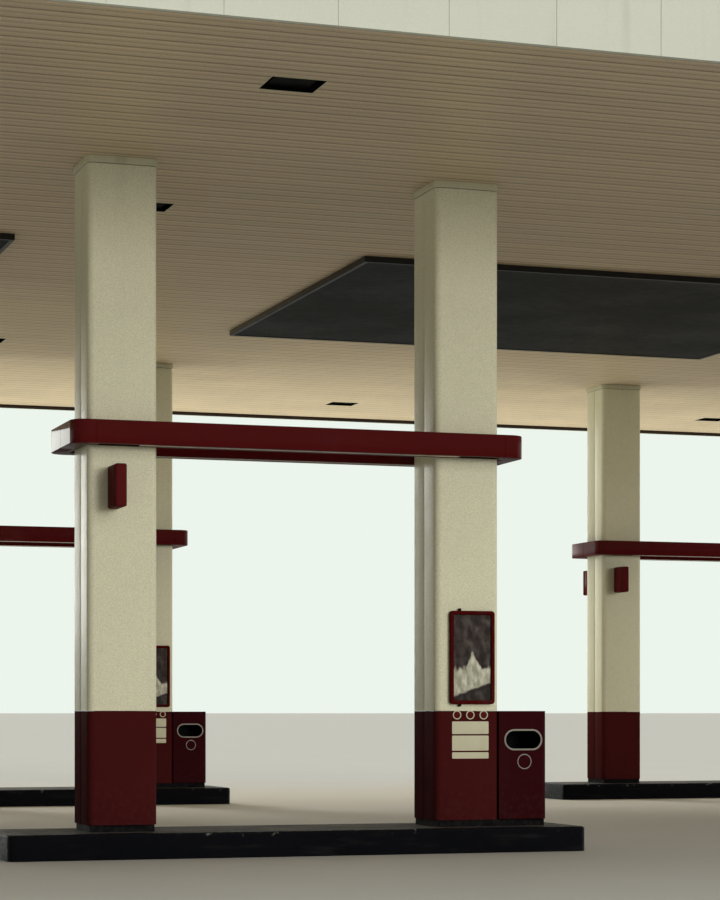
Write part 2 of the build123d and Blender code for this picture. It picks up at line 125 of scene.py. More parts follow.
# Plates and discs
PLATE_SHIFT = 0.027
PLATE_WIDTH = 0.346
PLATE_HEIGHTS = ((1.036, 1.148), (0.889, 1.023), (0.819, 0.875))
PLATE_THICKNESS = 0.004
DISC_SHIFTS = (-0.0985, 0.0270, 0.1540)
DISC_Z = 1.205
DISC_RADIUS = 0.040
DISC_RING = 0.009
DISC_LAP = 0.001
DISC_THICKNESS = 0.002
RING_THICKNESS = 0.003

# Waste bins
BIN_LENGTH = 0.464
BIN_CENTRE = HALF_SIDE + BIN_LENGTH / 2
BIN_CORNER = 0.060
BIN_WALL = 0.004
BIN_WRAP = 0.050
BIN_GAP = 0.001
MOUTH_LENGTH = 0.334
MOUTH_HEIGHT = 0.158
MOUTH_Z = 0.984
RIM_WIDTH = 0.016
RIM_PROUD = 0.006
BAFFLE_BOTTOM = 0.800
BAFFLE_THICKNESS = 0.006
BADGE_SHIFT = 0.012
BADGE_Z = 0.790
BADGE_RADIUS = 0.068
BADGE_RING = 0.008

# Islands
ISLAND_LENGTH = 5.164
ISLAND_WIDTH = 1.168
ISLAND_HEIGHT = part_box("kerbs_near")[1].z
ISLAND_CORNER = 0.070
KERB_WIDTH = 0.125
KERB_NOSE = 0.022
KERB_INNER_CORNER = 0.004

# Soffit planks: a groove at each plank's edge and a finer one along its middle, each with its
# depth and half the width of its mouth
PLANK_PITCH = 0.2325
HALF_PLANK = PLANK_PITCH / 2
EDGE_GROOVE = (0.012, 0.008)
MIDDLE_GROOVE = (0.005, 0.005)
GROOVE_FLOOR = 0.5
POST_HOLE = 0.310

# Recessed lights
LIGHT_LENGTH = 0.400
LIGHT_WIDTH = 0.380
HOLE_LENGTH = 0.424
HOLE_WIDTH = 0.382
LIGHT_FRAME = 0.006
LIGHT_FRAME_PROUD = 0.003
WELL_WALL = 0.003
WELL_OVERLAP = 0.0005
WELL_TOP = 0.110
LEDGE_LAP = 0.030
LEDGE_WIDTH = 0.040
LEDGE_BOTTOM, LEDGE_TOP = 0.018, 0.025
LID_PLAY = 0.001
LID_BOTTOM, LID_TOP = 0.106, 0.109
LIGHT_LOW, LIGHT_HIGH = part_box("light_housings")
LIGHT_XS = np.linspace(LIGHT_LOW.x + LIGHT_LENGTH / 2, LIGHT_HIGH.x - LIGHT_LENGTH / 2, 5)
LIGHT_OUTER = LIGHT_HIGH.y - LIGHT_WIDTH / 2
LIGHT_INNER = 4.280
LIGHT_YS = (-LIGHT_OUTER, -LIGHT_INNER, LIGHT_INNER, LIGHT_OUTER)
LIGHTS = np.array([(x, y, 0.0) for x in LIGHT_XS for y in LIGHT_YS])

# Fascia boards and hanging panels
FASCIA_PANEL = 0.800
FASCIA_JOINT_X = 0.490
FASCIA_JOINT_DEPTH = 0.006
FASCIA_JOINT_MOUTH = 0.0030
FASCIA_JOINT_FLOOR = 0.0015
FASCIA_LEAST_PANEL = 0.050
DROPPED_START = 1.810
DROPPED_SHEET = 0.006
DROPPED_FLANGE = 0.045

# Stage
FLOOR_HALF_SIDE = 6000.0
FLOOR_Z = -0.002
VIEW_PLACE = (-6.2254, -26.3586, 1.2241)
VIEW_TURN = -18.57
VIEW_LENS = 97.70
VIEW_SENSOR = 36.0
VIEW_RISE = 0.292
VIEW_FAR_END = 10000.0


# Shader nodes
def feed(tree, node, values):
    """Gives a node's inputs their values, each a (name or number of the input, a value or
    another node's output)."""
    for name, value in values:
        if isinstance(value, bpy.types.NodeSocket):
            tree.links.new(value, node.inputs[name])
        else:
            node.inputs[name].default_value = value
    return node


def add(tree, kind, values=(), **settings):
    """One node of a tree: settings are its own choices, and values feed its inputs."""
    node = tree.nodes.new("ShaderNode" + kind)
    for name, value in settings.items():
        setattr(node, name, value)
    return feed(tree, node, values)


def calc(tree, operation, a, b=0.0, clamp=False):
    """One sum on two numbers, kept between 0 and 1 where it is clamped."""
    return add(tree, "Math", ((0, a), (1, b)), operation=operation, use_clamp=clamp).outputs[0]


def plus(tree, a, b, clamp=False):
    return calc(tree, "ADD", a, b, clamp)


def minus(tree, a, b):
    return calc(tree, "SUBTRACT", a, b)


def times(tree, a, b):
    return calc(tree, "MULTIPLY", a, b)


def spread(tree, value, low, high, out_low=0.0, out_high=1.0, smooth=True):
    """A value between low and high, carried to between out_low and out_high."""
    kind = "SMOOTHSTEP" if smooth else "LINEAR"
    ends = ((0, value), (1, low), (2, high), (3, out_low), (4, out_high))
    return add(tree, "MapRange", ends, interpolation_type=kind).outputs[0]


def rgba(colour):
    """A colour in the form that an input takes; another node's output stays as it is."""
    return (*colour, 1.0) if isinstance(colour, tuple) else colour


def mixed(tree, mask, first, second):
    """The first colour where the mask is 0, the second where it is 1."""
    ends = ((0, mask), (6, rgba(first)), (7, rgba(second)))
    return add(tree, "Mix", ends, data_type="RGBA").outputs[2]


def scaled(tree, colour, gain):
    """A colour times a number."""
    return add(tree, "VectorMath", ((0, colour), ("Scale", gain)), operation="SCALE").outputs[0]


def noise(tree, scale, detail=2.0, stretch=None, rough=0.5):
    """Noise over the piece's own place, in metres; stretch scales X, Y and Z apart."""
    place = add(tree, "TexCoord").outputs["Object"]
    if stretch:
        place = add(tree, "Mapping", (("Vector", place), ("Scale", stretch))).outputs[0]
    sockets = (("Vector", place), ("Scale", scale), ("Detail", detail), ("Roughness", rough))
    return add(tree, "TexNoise", sockets).outputs["Fac"]


def axis_of(tree, vector, axis):
    """One coordinate of a vector."""
    return add(tree, "SeparateXYZ", ((0, vector),)).outputs[axis]


def place_axis(tree, axis):
    """One coordinate of the piece's own place, in metres."""
    return axis_of(tree, add(tree, "TexCoord").outputs["Object"], axis)


def new_group(name, inputs, outputs):
    """An empty node group with named sockets: its tree, what it is given, its output node."""
    tree = bpy.data.node_groups.new(name, "ShaderNodeTree")
    for direction, sockets in (("INPUT", inputs), ("OUTPUT", outputs)):
        for socket_name, kind in sockets:
            tree.interface.new_socket(
                socket_name, in_out=direction, socket_type="NodeSocket" + kind
            )
    return tree, tree.nodes.new("NodeGroupInput").outputs, tree.nodes.new("NodeGroupOutput")


def make_coat_group():
    """Sprayed coat. Its tone is noise a metre wide with some a tenth of that, and its colour is
    the given one times one plus the tone's mottle plus a grain of 9 mm. Its height adds up a
    peel of 4 mm, that grain and a ripple of 70 mm."""
    tree, given, out = new_group(
        "sprayed_coat",
        (("Colour", "Color"), ("Mottle", "Float"), ("Grain", "Float"), ("Peel", "Float")),
        (("Colour", "Color"), ("Tone", "Float"), ("Height", "Float")),
    )
    tone = plus(tree, times(tree, noise(tree, 0.9, 3.0), 0.7), times(tree, noise(tree, 9.0), 0.3))
    mottle = times(tree, minus(tree, tone, 0.5), given["Mottle"])
    grain = times(tree, minus(tree, noise(tree, 110.0, rough=0.6), 0.5), given["Grain"])
    peel = times(tree, noise(tree, 260.0, 1.0), given["Peel"])
    ripple = times(tree, noise(tree, 14.0, 1.0), 0.6)
    gain = plus(tree, plus(tree, mottle, grain), 1.0)
    feed(tree, out, (
        ("Colour", scaled(tree, given["Colour"], gain)),
        ("Tone", tone),
        ("Height", plus(tree, plus(tree, peel, grain), ripple)),
    ))
    return tree


def make_weather_group():
    """Dirt: rain streaks down the sides, splash in the lowest metre, dust on what faces up. Each
    is where it lies, times how it breaks up, times the strength given for it."""
    tree, given, out = new_group(
        "weather",
        (("Streaks", "Float"), ("Splash", "Float"), ("Dust", "Float")),
        (("Mask", "Float"),),
    )
    runs = spread(tree, noise(tree, 7.0, 3.0, (1.0, 1.0, 0.06)), 0.52, 0.78)
    breaks = spread(tree, noise(tree, 1.6, 3.0), 0.35, 0.7)
    streaks = times(tree, times(tree, runs, breaks), given["Streaks"])
    low = spread(tree, place_axis(tree, "Z"), 0.95, 0.2)
    spots = spread(tree, noise(tree, 24.0, 4.0, rough=0.65), 0.42, 0.72)
    splash = times(tree, times(tree, low, spots), given["Splash"])
    normal = add(tree, "NewGeometry").outputs["Normal"]
    up = spread(tree, axis_of(tree, normal, "Z"), 0.6, 0.95)
    patches = spread(tree, noise(tree, 3.0, 4.0), 0.3, 0.7)
    dust = times(tree, times(tree, up, patches), given["Dust"])
    feed(tree, out, (("Mask", plus(tree, plus(tree, streaks, splash), dust, clamp=True)),))
    return tree


def make_strip_group():
    """A tone for each strip of a given width, from the strip's number along one coordinate."""
    tree, given, out = new_group(
        "strip_tone", (("Along", "Float"), ("Pitch", "Float")), (("Tone", "Float"),)
    )
    number = calc(tree, "FLOOR", calc(tree, "DIVIDE", given["Along"], given["Pitch"]))
    tone = add(tree, "TexWhiteNoise", (("W", number),), noise_dimensions="1D").outputs["Value"]
    feed(tree, out, (("Tone", tone),))
    return tree


COAT = make_coat_group()
WEATHER = make_weather_group()
STRIP = make_strip_group()


def use_group(tree, group, values):
    """The outputs of a node group placed in a material with its own values."""
    return add(tree, "Group", values, node_tree=group).outputs


def coated(tree, colour, mottle, grain, peel):
    """The outputs of the sprayed coat in one colour."""
    values = (("Colour", rgba(colour)), ("Mottle", mottle), ("Grain", grain), ("Peel", peel))
    return use_group(tree, COAT, values)


def relief(tree, height, distance):
    """Normals of bumps whose height of 1 stands for a distance in metres."""
    return add(tree, "Bump", (("Height", height), ("Distance", distance))).outputs[0]


def new_finish(name):
    """A material with a bare Principled shader."""
    material = bpy.data.materials.new(name)
    material.use_nodes = True
    tree = material.node_tree
    tree.nodes.clear()
    shader = add(tree, "BsdfPrincipled")
    add(tree, "OutputMaterial", (("Surface", shader.outputs[0]),))
    return material, tree, shader


# How deep a sprayed coat's bumps are, and how much rougher dirt and joints are than the coat
COAT_RELIEF = 0.0006
DIRT_ROUGHNESS = 0.3

# Plank tones: the width that has one tone, and how far the tones go either side of 1
PLANK_TONES = ((PLANK_PITCH, 0.030), (HALF_PLANK, 0.015))

# Plank joints, their dark colour dirt and painted shade in the grooves: how far from its line a
# joint's shade fades out, where it is full, its strength
EDGE_SHADE = (0.030, 0.002, 0.0, 0.42)
MIDDLE_SHADE = (0.020, 0.002, 0.0, 0.18)

# Plank highlights, a painted highlight beside each joint for light on the groove's far side: the
# distance of the highlight's line from the plank's edge, and its gain there
PLANK_HIGHLIGHTS = ((0.046, 1.20), (HALF_PLANK + 0.034, 1.10))
HIGHLIGHT_FADE = (0.030, 0.004)


def painted(
    name, colour, rough, dirt=(0.10, 0.09, 0.07), mottle=0.16, grain=0.15, peel=0.5, streaks=0.25,
    splash=0.0, dust=0.4, shine=0.5, coat=0.0, coat_rough=0.08, metal=0.0,
):
    """Sprayed or coil-coated sheet: coat colour, weather over it, rougher where it is dirty.
    The clean roughness goes 15 % either side of the given one with the coat's tone."""
    material, tree, shader = new_finish(name)
    skin = coated(tree, colour, mottle, grain, peel)
    weather = (("Streaks", streaks), ("Splash", splash), ("Dust", dust))
    mask = use_group(tree, WEATHER, weather)["Mask"]
    clean = spread(tree, skin["Tone"], 0.3, 0.7, rough * 0.85, rough * 1.15)
    feed(tree, shader, (
        ("Base Color", mixed(tree, mask, skin["Colour"], dirt)),
        ("Roughness", plus(tree, clean, times(tree, mask, DIRT_ROUGHNESS), clamp=True)),
        ("Metallic", metal),
        ("Specular IOR Level", shine),
        ("Coat Weight", coat),
        ("Coat Roughness", coat_rough),
        ("Normal", relief(tree, skin["Height"], COAT_RELIEF)),
    ))
    return material


def planked(name, colour, joint_dirt_and_shade_colour, stain_colour):
    """Coil-coated planks: a tone for each plank and each half, dark joints at a plank's edges
    and fainter ones along its middle, where the distance to the nearest joint is small, their
    colour dirt and painted shade in the grooves, and a painted highlight, a lighter line beside
    each of them, where the distance to that line is small."""
    material, tree, shader = new_finish(name)
    skin = coated(tree, colour, mottle=0.22, grain=1.1, peel=0.4)
    across = place_axis(tree, "Y")
    base = skin["Colour"]
    for pitch, change in PLANK_TONES:
        tone = use_group(tree, STRIP, (("Along", across), ("Pitch", pitch)))["Tone"]
        gain = spread(tree, tone, 0.0, 1.0, 1.0 - change, 1.0 + change, smooth=False)
        base = scaled(tree, base, gain)
    # Painted shade and dirt: the joints' dark colour, strongest at a plank's edges
    off_edge = calc(tree, "PINGPONG", across, HALF_PLANK)
    edge = spread(tree, off_edge, *EDGE_SHADE)
    middle = spread(tree, minus(tree, HALF_PLANK, off_edge), *MIDDLE_SHADE)
    joint_dirt_and_shade = plus(tree, edge, middle, clamp=True)
    planks_on = calc(tree, "DIVIDE", across, PLANK_PITCH)
    past_edge = times(tree, calc(tree, "FRACT", planks_on), PLANK_PITCH)
    # Painted highlight: a lighter line beside each joint, on the groove's far side
    for lip, gain in PLANK_HIGHLIGHTS:
        away = calc(tree, "ABSOLUTE", minus(tree, past_edge, lip))
        base = scaled(tree, base, spread(tree, away, *HIGHLIGHT_FADE, 1.0, gain))
    stain = spread(tree, noise(tree, 1.3, 4.0, (0.4, 1.0, 1.0)), 0.52, 0.75, 0.0, 0.12)
    base = mixed(tree, stain, base, stain_colour)
    rough = spread(tree, skin["Tone"], 0.3, 0.7, 0.36, 0.46)
    feed(tree, shader, (
        ("Base Color", mixed(tree, joint_dirt_and_shade, base, joint_dirt_and_shade_colour)),
        ("Roughness", plus(tree, rough, times(tree, joint_dirt_and_shade, DIRT_ROUGHNESS), clamp=True)),
        ("Specular IOR Level", 0.35),
        ("Normal", relief(tree, skin["Height"], COAT_RELIEF)),
    ))
    return material


def kerb_paint(name, paint, scuff, stone):
    """Dark paint on cast concrete, chipped to the stone along the nose and scuffed along
    its sides."""
    material, tree, shader = new_finish(name)
    skin = coated(tree, paint, mottle=0.9, grain=0.8, peel=1.0)
    nose = spread(tree, place_axis(tree, "Z"), 0.165, 0.21)
    chips = times(tree, nose, spread(tree, noise(tree, 11.0, 5.0, rough=0.7), 0.60, 0.66))
    scuffs = spread(tree, noise(tree, 5.0, 4.0, (0.35, 1.0, 3.0)), 0.58, 0.75, 0.0, 0.4)
    colour = mixed(tree, scuffs, skin["Colour"], scuff)
    height = plus(tree, noise(tree, 70.0, 4.0), times(tree, chips, -0.6))
    feed(tree, shader, (
        ("Base Color", mixed(tree, chips, colour, stone)),
        ("Roughness", spread(tree, noise(tree, 30.0, 3.0), 0.3, 0.7, 0.38, 0.62)),
        ("Specular IOR Level", 0.10),
        ("Normal", relief(tree, height, 0.003)),
    ))
    return material


def paving(name, dark, pale, speck):
    """Dark screed with stains and a fine stone grain."""
    material, tree, shader = new_finish(name)
    stains = spread(tree, noise(tree, 1.8, 5.0, rough=0.6), 0.35, 0.7)
    specks = spread(tree, noise(tree, 160.0), 0.55, 0.7, 0.0, 0.35)
    feed(tree, shader, (
        ("Base Color", mixed(tree, specks, mixed(tree, stains, dark, pale), speck)),
        ("Roughness", 0.82),
        ("Normal", relief(tree, noise(tree, 90.0, 5.0), 0.004)),
    ))
    return material


def opal(name, fresh, aged, dirt):
    """Opal sheet: pale, yellowed in soft patches, with specks of dirt."""
    material, tree, shader = new_finish(name)
    sheet = mixed(tree, spread(tree, noise(tree, 2.5, 3.0), 0.35, 0.7), fresh, aged)
    specks = spread(tree, noise(tree, 26.0, 4.0), 0.56, 0.75, 0.0, 0.5)
    feed(tree, shader, (
        ("Base Color", mixed(tree, specks, sheet, dirt)),
        ("Roughness", 0.42),
        ("Normal", relief(tree, noise(tree, 120.0, 1.0), 0.0008)),
    ))
    return material


def shaded_lens(name, glass_shade, film):
    """Unlit lamp glass: nearly black, as painted shade of the recess behind it, with pressed prisms
    12 mm apart, whose height is the sine of 523 times X."""
    material, tree, shader = new_finish(name)
    dust = spread(tree, noise(tree, 18.0, 3.0), 0.4, 0.7)
    prisms = calc(tree, "SINE", times(tree, place_axis(tree, "X"), 523.0))
    feed(tree, shader, (
        ("Base Color", mixed(tree, dust, glass_shade, film)),
        ("Roughness", 0.4),
        ("Specular IOR Level", 0.02),
        ("Normal", relief(tree, prisms, 0.0012)),
    ))
    return material


def printed_sheet(name, dusk, cloud, slope, light, foot):
    """A plain print: dusk above, a pale slope below, a dark rise at the foot. The slope's edge
    is a level plus a bell curve (2.718 to the power of minus 45 times the squared distance
    from the peak) plus noise, and the foot's edge climbs evenly across the sheet."""
    material, tree, shader = new_finish(name)
    place = add(tree, "UVMap", uv_map="sheet").outputs[0]
    across, up = (axis_of(tree, place, axis) for axis in "XY")
    sockets = (("Vector", place), ("Scale", 7.0), ("Detail", 5.0))
    blur = add(tree, "TexNoise", sockets).outputs["Fac"]
    squared = calc(tree, "POWER", minus(tree, across, 0.52), 2.0)
    peak = calc(tree, "POWER", 2.718, times(tree, squared, -45.0))
    skyline = plus(tree, times(tree, peak, 0.17), 0.37)
    skyline = plus(tree, skyline, times(tree, minus(tree, blur, 0.5), 0.22))
    below = spread(tree, minus(tree, skyline, up), -0.02, 0.03)
    rise = plus(tree, times(tree, across, 0.16), times(tree, blur, 0.10))
    lowest = spread(tree, minus(tree, rise, up), -0.015, 0.015)
    clouds = spread(tree, blur, 0.35, 0.7)
    upper, lower = mixed(tree, clouds, dusk, cloud), mixed(tree, clouds, slope, light)
    feed(tree, shader, (
        ("Base Color", mixed(tree, lowest, mixed(tree, below, upper, lower), foot)),
        ("Roughness", 0.5),
        ("Normal", relief(tree, noise(tree, 220.0), 0.0002)),
    ))
    return material


def clear_glazing(name, colour):
    """Clear sheet with a faint film of dust."""
    material, tree, shader = new_finish(name)
    feed(tree, shader, (
        ("Base Color", rgba(colour)),
        ("Alpha", spread(tree, noise(tree, 14.0, 4.0), 0.45, 0.8, 0.01, 0.06)),
        ("Roughness", 0.12),
        ("Normal", relief(tree, noise(tree, 6.0, 1.0), 0.0003)),
    ))
    return material


# What the red sheets near the ground have in common
LOW_RED = dict(
    mottle=0.35, grain=0.4, streaks=0.10, splash=0.3, shine=0.0, coat=0.05, coat_rough=0.2
)

# Each slot's maker and the values it takes; colours are linear
SLOTS = {
    "kerb_paint": (kerb_paint, dict(
        paint=(0.0040, 0.0043, 0.0060), scuff=(0.022, 0.021, 0.021), stone=(0.14, 0.135, 0.125),
    )),
    "paving": (paving, dict(
        dark=(0.060, 0.060, 0.062), pale=(0.120, 0.116, 0.108), speck=(0.22, 0.21, 0.20),
    )),
    "post_steel": (painted, dict(colour=(0.35, 0.35, 0.35), rough=0.55)),
    "cladding_cream": (painted, dict(
        colour=(0.705, 0.688, 0.515), rough=0.40, mottle=0.16, grain=0.8, streaks=0.10,
        shine=0.15, coat=0.10, coat_rough=0.16,
    )),
    "cladding_red": (painted, dict(
        colour=(0.056, 0.0078, 0.0084), rough=0.36, dirt=(0.060, 0.028, 0.022), **LOW_RED,
    )),
    "plinth_black": (painted, dict(
        colour=(0.006, 0.006, 0.007), rough=0.8, peel=1.2, splash=0.15, shine=0.1,
    )),
    "collar_cream": (painted, dict(
        colour=(0.60, 0.58, 0.42), rough=0.38, mottle=0.10, shine=0.4,
    )),
    "band_red": (painted, dict(
        colour=(0.078, 0.0064, 0.0068), rough=0.28, dirt=(0.07, 0.035, 0.028), mottle=0.30,
        grain=0.3, streaks=0.06, dust=0.7, shine=0.0, coat=0.40, coat_rough=0.06,
    )),
    "bracket_steel": (painted, dict(colour=(0.10, 0.10, 0.10), rough=0.5)),
    "diffuser_white": (opal, dict(
        fresh=(0.74, 0.66, 0.58), aged=(0.66, 0.54, 0.46), dirt=(0.25, 0.19, 0.15),
    )),
    "sign_red": (painted, dict(
        colour=(0.092, 0.0100, 0.0112), rough=0.36, peel=0.2, shine=0.0, coat=0.10,
    )),
    "frame_red": (painted, dict(colour=(0.065, 0.0040, 0.0040), rough=0.32, shine=0.0, coat=0.10)),
    "poster_print": (printed_sheet, dict(
        dusk=(0.013, 0.0065, 0.0055), cloud=(0.054, 0.033, 0.027), slope=(0.34, 0.33, 0.25),
        light=(0.70, 0.69, 0.56), foot=(0.022, 0.013, 0.011),
    )),
    "poster_glazing": (clear_glazing, dict(colour=(0.80, 0.80, 0.78))),
    "bin_red": (painted, dict(
        colour=(0.032, 0.0040, 0.0060), rough=0.37, dirt=(0.050, 0.024, 0.020), **LOW_RED,
    )),
    "rim_pale": (painted, dict(colour=(0.60, 0.57, 0.50), rough=0.38, metal=0.6, splash=0.2)),
    "soffit_cream": (planked, dict(
        colour=(0.64, 0.51, 0.345), joint_dirt_and_shade_colour=(0.17, 0.125, 0.080),
        stain_colour=(0.30, 0.240, 0.165),
    )),
    # Nearly black: in the lights' wells and lids it is painted shade of the recess
    "light_black": (painted, dict(
        colour=(0.003, 0.003, 0.003), rough=0.8, dust=0.0, streaks=0.0, shine=0.0,
    )),
    # Lens glass nearly black: painted shade of the recess behind it
    "light_lens": (shaded_lens, dict(glass_shade=(0.003, 0.003, 0.003), film=(0.010, 0.009, 0.008))),
    "panel_frame": (painted, dict(colour=(0.018, 0.018, 0.018), rough=0.34, shine=0.3, coat=0.15)),
    "panel_dark": (painted, dict(
        colour=(0.026, 0.026, 0.0245), rough=0.55, mottle=0.12, grain=0.4, streaks=0.0, shine=0.10,
    )),
    "roof_steel": (painted, dict(colour=(0.30, 0.31, 0.32), rough=0.6)),
    "deck_grey": (painted, dict(
        colour=(0.42, 0.43, 0.43), rough=0.45, dirt=(0.26, 0.25, 0.23), mottle=0.14, dust=0.6,
        metal=0.2,
    )),
    "fascia_white": (painted, dict(
        colour=(0.68, 0.70, 0.61), rough=0.35, mottle=0.08, grain=0.2, streaks=0.18, shine=0.4,
    )),
    "trim_brown": (painted, dict(colour=(0.040, 0.024, 0.020), rough=0.4, shine=0.3)),
    "coping_white": (painted, dict(
        colour=(0.64, 0.65, 0.58), rough=0.38, mottle=0.12, streaks=0.35,
    )),
}
FINISHES = {slot: maker(slot, **values) for slot, (maker, values) in SLOTS.items()}

# Angles of a small round edge, and the least radius that a corner keeps as it is drawn in
SMALL_TURN = np.linspace(0, np.pi / 2, 5)
LEAST_RADIUS = 0.0005


# Surfaces worked out as arrays of points
def joined(loops, closed=False):
    """Closed loops of points, one after another: point p of each loop meets point p of the
    next, and the two end loops are filled unless the run closes on itself."""
    runs, count = loops.shape[:2]
    index = np.arange(runs * count).reshape(runs, count)
    here, there = (index, np.roll(index, -1, 0)) if closed else (index[:-1], index[1:])
    quads = np.stack([here, np.roll(here, -1, 1), np.roll(there, -1, 1), there], axis=-1)
    faces = [quads.reshape(-1, 4)]
    if not closed:
        faces += [index[:1, ::-1], index[-1:]]
    return loops.reshape(-1, 3), faces


def combined(surfaces):
    """Several surfaces as one."""
    points, faces, start = [], [], 0
    for more_points, more_faces in surfaces:
        points.append(more_points)
        faces += [f + start for f in more_faces]
        start += len(more_points)
    return np.concatenate(points), faces


def copies(surface, places):
    """The same surface once at each place: its points plus that place."""
    points, faces = surface
    moved = (points[None] + np.asarray(places, float)[:, None]).reshape(-1, 3)
    steps = np.arange(len(places))[:, None, None] * len(points)
    return moved, [(f[None] + steps).reshape(-1, f.shape[1]) for f in faces]


def rounded_outline(length, width, radius, steps=8, centre=(0.0, 0.0)):
    """A rectangle with round corners, anticlockwise from +X: each corner's centre plus the
    radius times the cosine and sine of an angle that runs through a quarter turn."""
    corner = np.repeat(np.arange(4), steps + 1)
    angle = (corner + np.tile(np.linspace(0, 1, steps + 1), 4)) * np.pi / 2
    side_x = np.where((corner == 0) | (corner == 3), 1, -1)
    side_y = np.where(corner < 2, 1, -1)
    x = centre[0] + side_x * (length / 2 - radius) + radius * np.cos(angle)
    y = centre[1] + side_y * (width / 2 - radius) + radius * np.sin(angle)
    return np.stack([x, y], axis=1)


def level(outline, z):
    """An outline laid flat at a height."""
    return np.column_stack([outline, np.full(len(outline), z)])


def raised(outline, bottom, top):
    """An outline carried straight up."""
    return joined(np.stack([level(outline, bottom), level(outline, top)]))


def rounded_block(length, width, bottom, top, corner, edge, steps=8, centre=(0.0, 0.0)):
    """A rounded rectangle carried up, drawn in at both ends by edge times one minus the sine
    of an angle, while the height runs by edge times one minus its cosine."""
    inset = edge * (1 - np.sin(SMALL_TURN))
    rise = edge * (1 - np.cos(SMALL_TURN))
    heights = np.concatenate([bottom + rise, top - rise[::-1]])
    insets = np.concatenate([inset, inset[::-1]])
    loops = []
    for i, z in zip(insets, heights):
        radius = max(corner - i, LEAST_RADIUS)
        outline = rounded_outline(length - 2 * i, width - 2 * i, radius, steps, centre)
        loops.append(level(outline, z))
    return joined(np.stack(loops))


def between(outer, inner, profile, closed=True):
    """A ring between two outlines of as many points: a profile point (a, h) lies a of the
    way from the outer outline to the inner one, at the height h. There is one profile for
    all, or one for each point of the outlines."""
    profile = np.broadcast_to(profile, (len(outer), *profile.shape[-2:]))
    share, height = profile[..., :1], profile[..., 1:]
    flat = outer[:, None] * (1 - share) + inner[:, None] * share
    return joined(np.concatenate([flat, height], axis=2), closed)


def ring_profile(width, bottom, top, edge, steps=4):
    """A rounded rectangle as a ring's profile, its width counted as 0 to 1."""
    outline = rounded_outline(width, top - bottom, edge, steps)
    return np.column_stack([0.5 - outline[:, 0] / width, (bottom + top) / 2 + outline[:, 1]])


def facing(surface, side):
    """A surface drawn flat, stood up to face -Y (side -1) or +Y (side 1): its height becomes
    its reach out of the wall and its second axis becomes Z."""
    u, v, w = surface[0].T
    return np.stack([-side * u, side * w, v], axis=1), surface[1]


def both_sides(surface, reach, shift=0.0):
    """A surface drawn flat, on the front and on the back of a square of the given half-side."""
    stood = []
    for side in (-1, 1):
        points, faces = facing(surface, side)
        stood.append((points + (shift, side * reach, 0), faces))
    return combined(stood)


def add_piece(name, slot, surface, nodes=(), sharp=40, sheet_map=None):
    """Puts a surface into the scene as one piece with its slot's finish: faces outwards, smooth
    but for edges sharper than an angle, with a map over it where the finish needs one."""
    points, faces = surface
    mesh = bpy.data.meshes.new(name)
    sizes = np.concatenate([np.full(len(f), f.shape[1]) for f in faces])
    corners = np.concatenate([f.ravel() for f in faces])
    mesh.vertices.add(len(points))
    mesh.vertices.foreach_set("co", np.ascontiguousarray(points, np.float32).ravel())
    mesh.loops.add(len(corners))
    mesh.loops.foreach_set("vertex_index", corners.astype(np.int32))
    mesh.polygons.add(len(sizes))
    mesh.polygons.foreach_set("loop_start", (np.cumsum(sizes) - sizes).astype(np.int32))
    mesh.update(calc_edges=True)
    work = bmesh.new()
    work.from_mesh(mesh)
    bmesh.ops.recalc_face_normals(work, faces=work.faces)
    work.to_mesh(mesh)
    work.free()
    mesh.polygons.foreach_set("use_smooth", np.ones(len(mesh.polygons), bool))
    mesh.set_sharp_from_angle(angle=math.radians(sharp))
    if sheet_map is not None:
        layer = mesh.uv_layers.new(name="sheet")
        used = np.zeros(len(mesh.loops), np.int32)
        mesh.loops.foreach_get("vertex_index", used)
        layer.data.foreach_set("uv", sheet_map[used].astype(np.float32).ravel())
    mesh.materials.append(FINISHES[slot])
    piece = bpy.data.objects.new(name, mesh)
    bpy.context.scene.collection.objects.link(piece)
    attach(piece, "root")
    if nodes:
        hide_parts(*nodes)


# Columns
def half_sheet(side):
    """Plan of one bent sheet: half of a rounded square, its edges folded in at the seams. A
    fold goes in by its radius times one minus the sine of an angle and away from the seam by
    its radius times one minus the cosine, and a flange runs on inwards from it."""
    inner_side = COLUMN_SIDE - 2 * SHEET
    outer = rounded_outline(COLUMN_SIDE, COLUMN_SIDE, COLUMN_CORNER)
    inner = rounded_outline(inner_side, inner_side, COLUMN_CORNER - SHEET)
    outer, inner = outer[: len(outer) // 2], inner[: len(inner) // 2]
    fold = np.column_stack([
        HALF_SIDE - SEAM_FOLD * (1 - np.sin(SMALL_TURN)),
        SEAM_GAP / 2 + SEAM_FOLD * (1 - np.cos(SMALL_TURN)),
    ])
    flange = [(HALF_SIDE - SEAM_FLANGE, SEAM_GAP / 2)]
    inside_flange = [(HALF_SIDE - SEAM_FLANGE, SEAM_GAP / 2 + SHEET)]
    seat = [(HALF_SIDE - SEAM_FOLD - SHEET, SEAM_GAP / 2 + SHEET)]
    mirror = np.array([-1, 1])
    plan = np.concatenate([
        flange, fold, outer, fold[::-1] * mirror, flange * mirror, inside_flange * mirror,
        seat * mirror, inner[::-1], seat, inside_flange,
    ])
    return plan * (1, side)


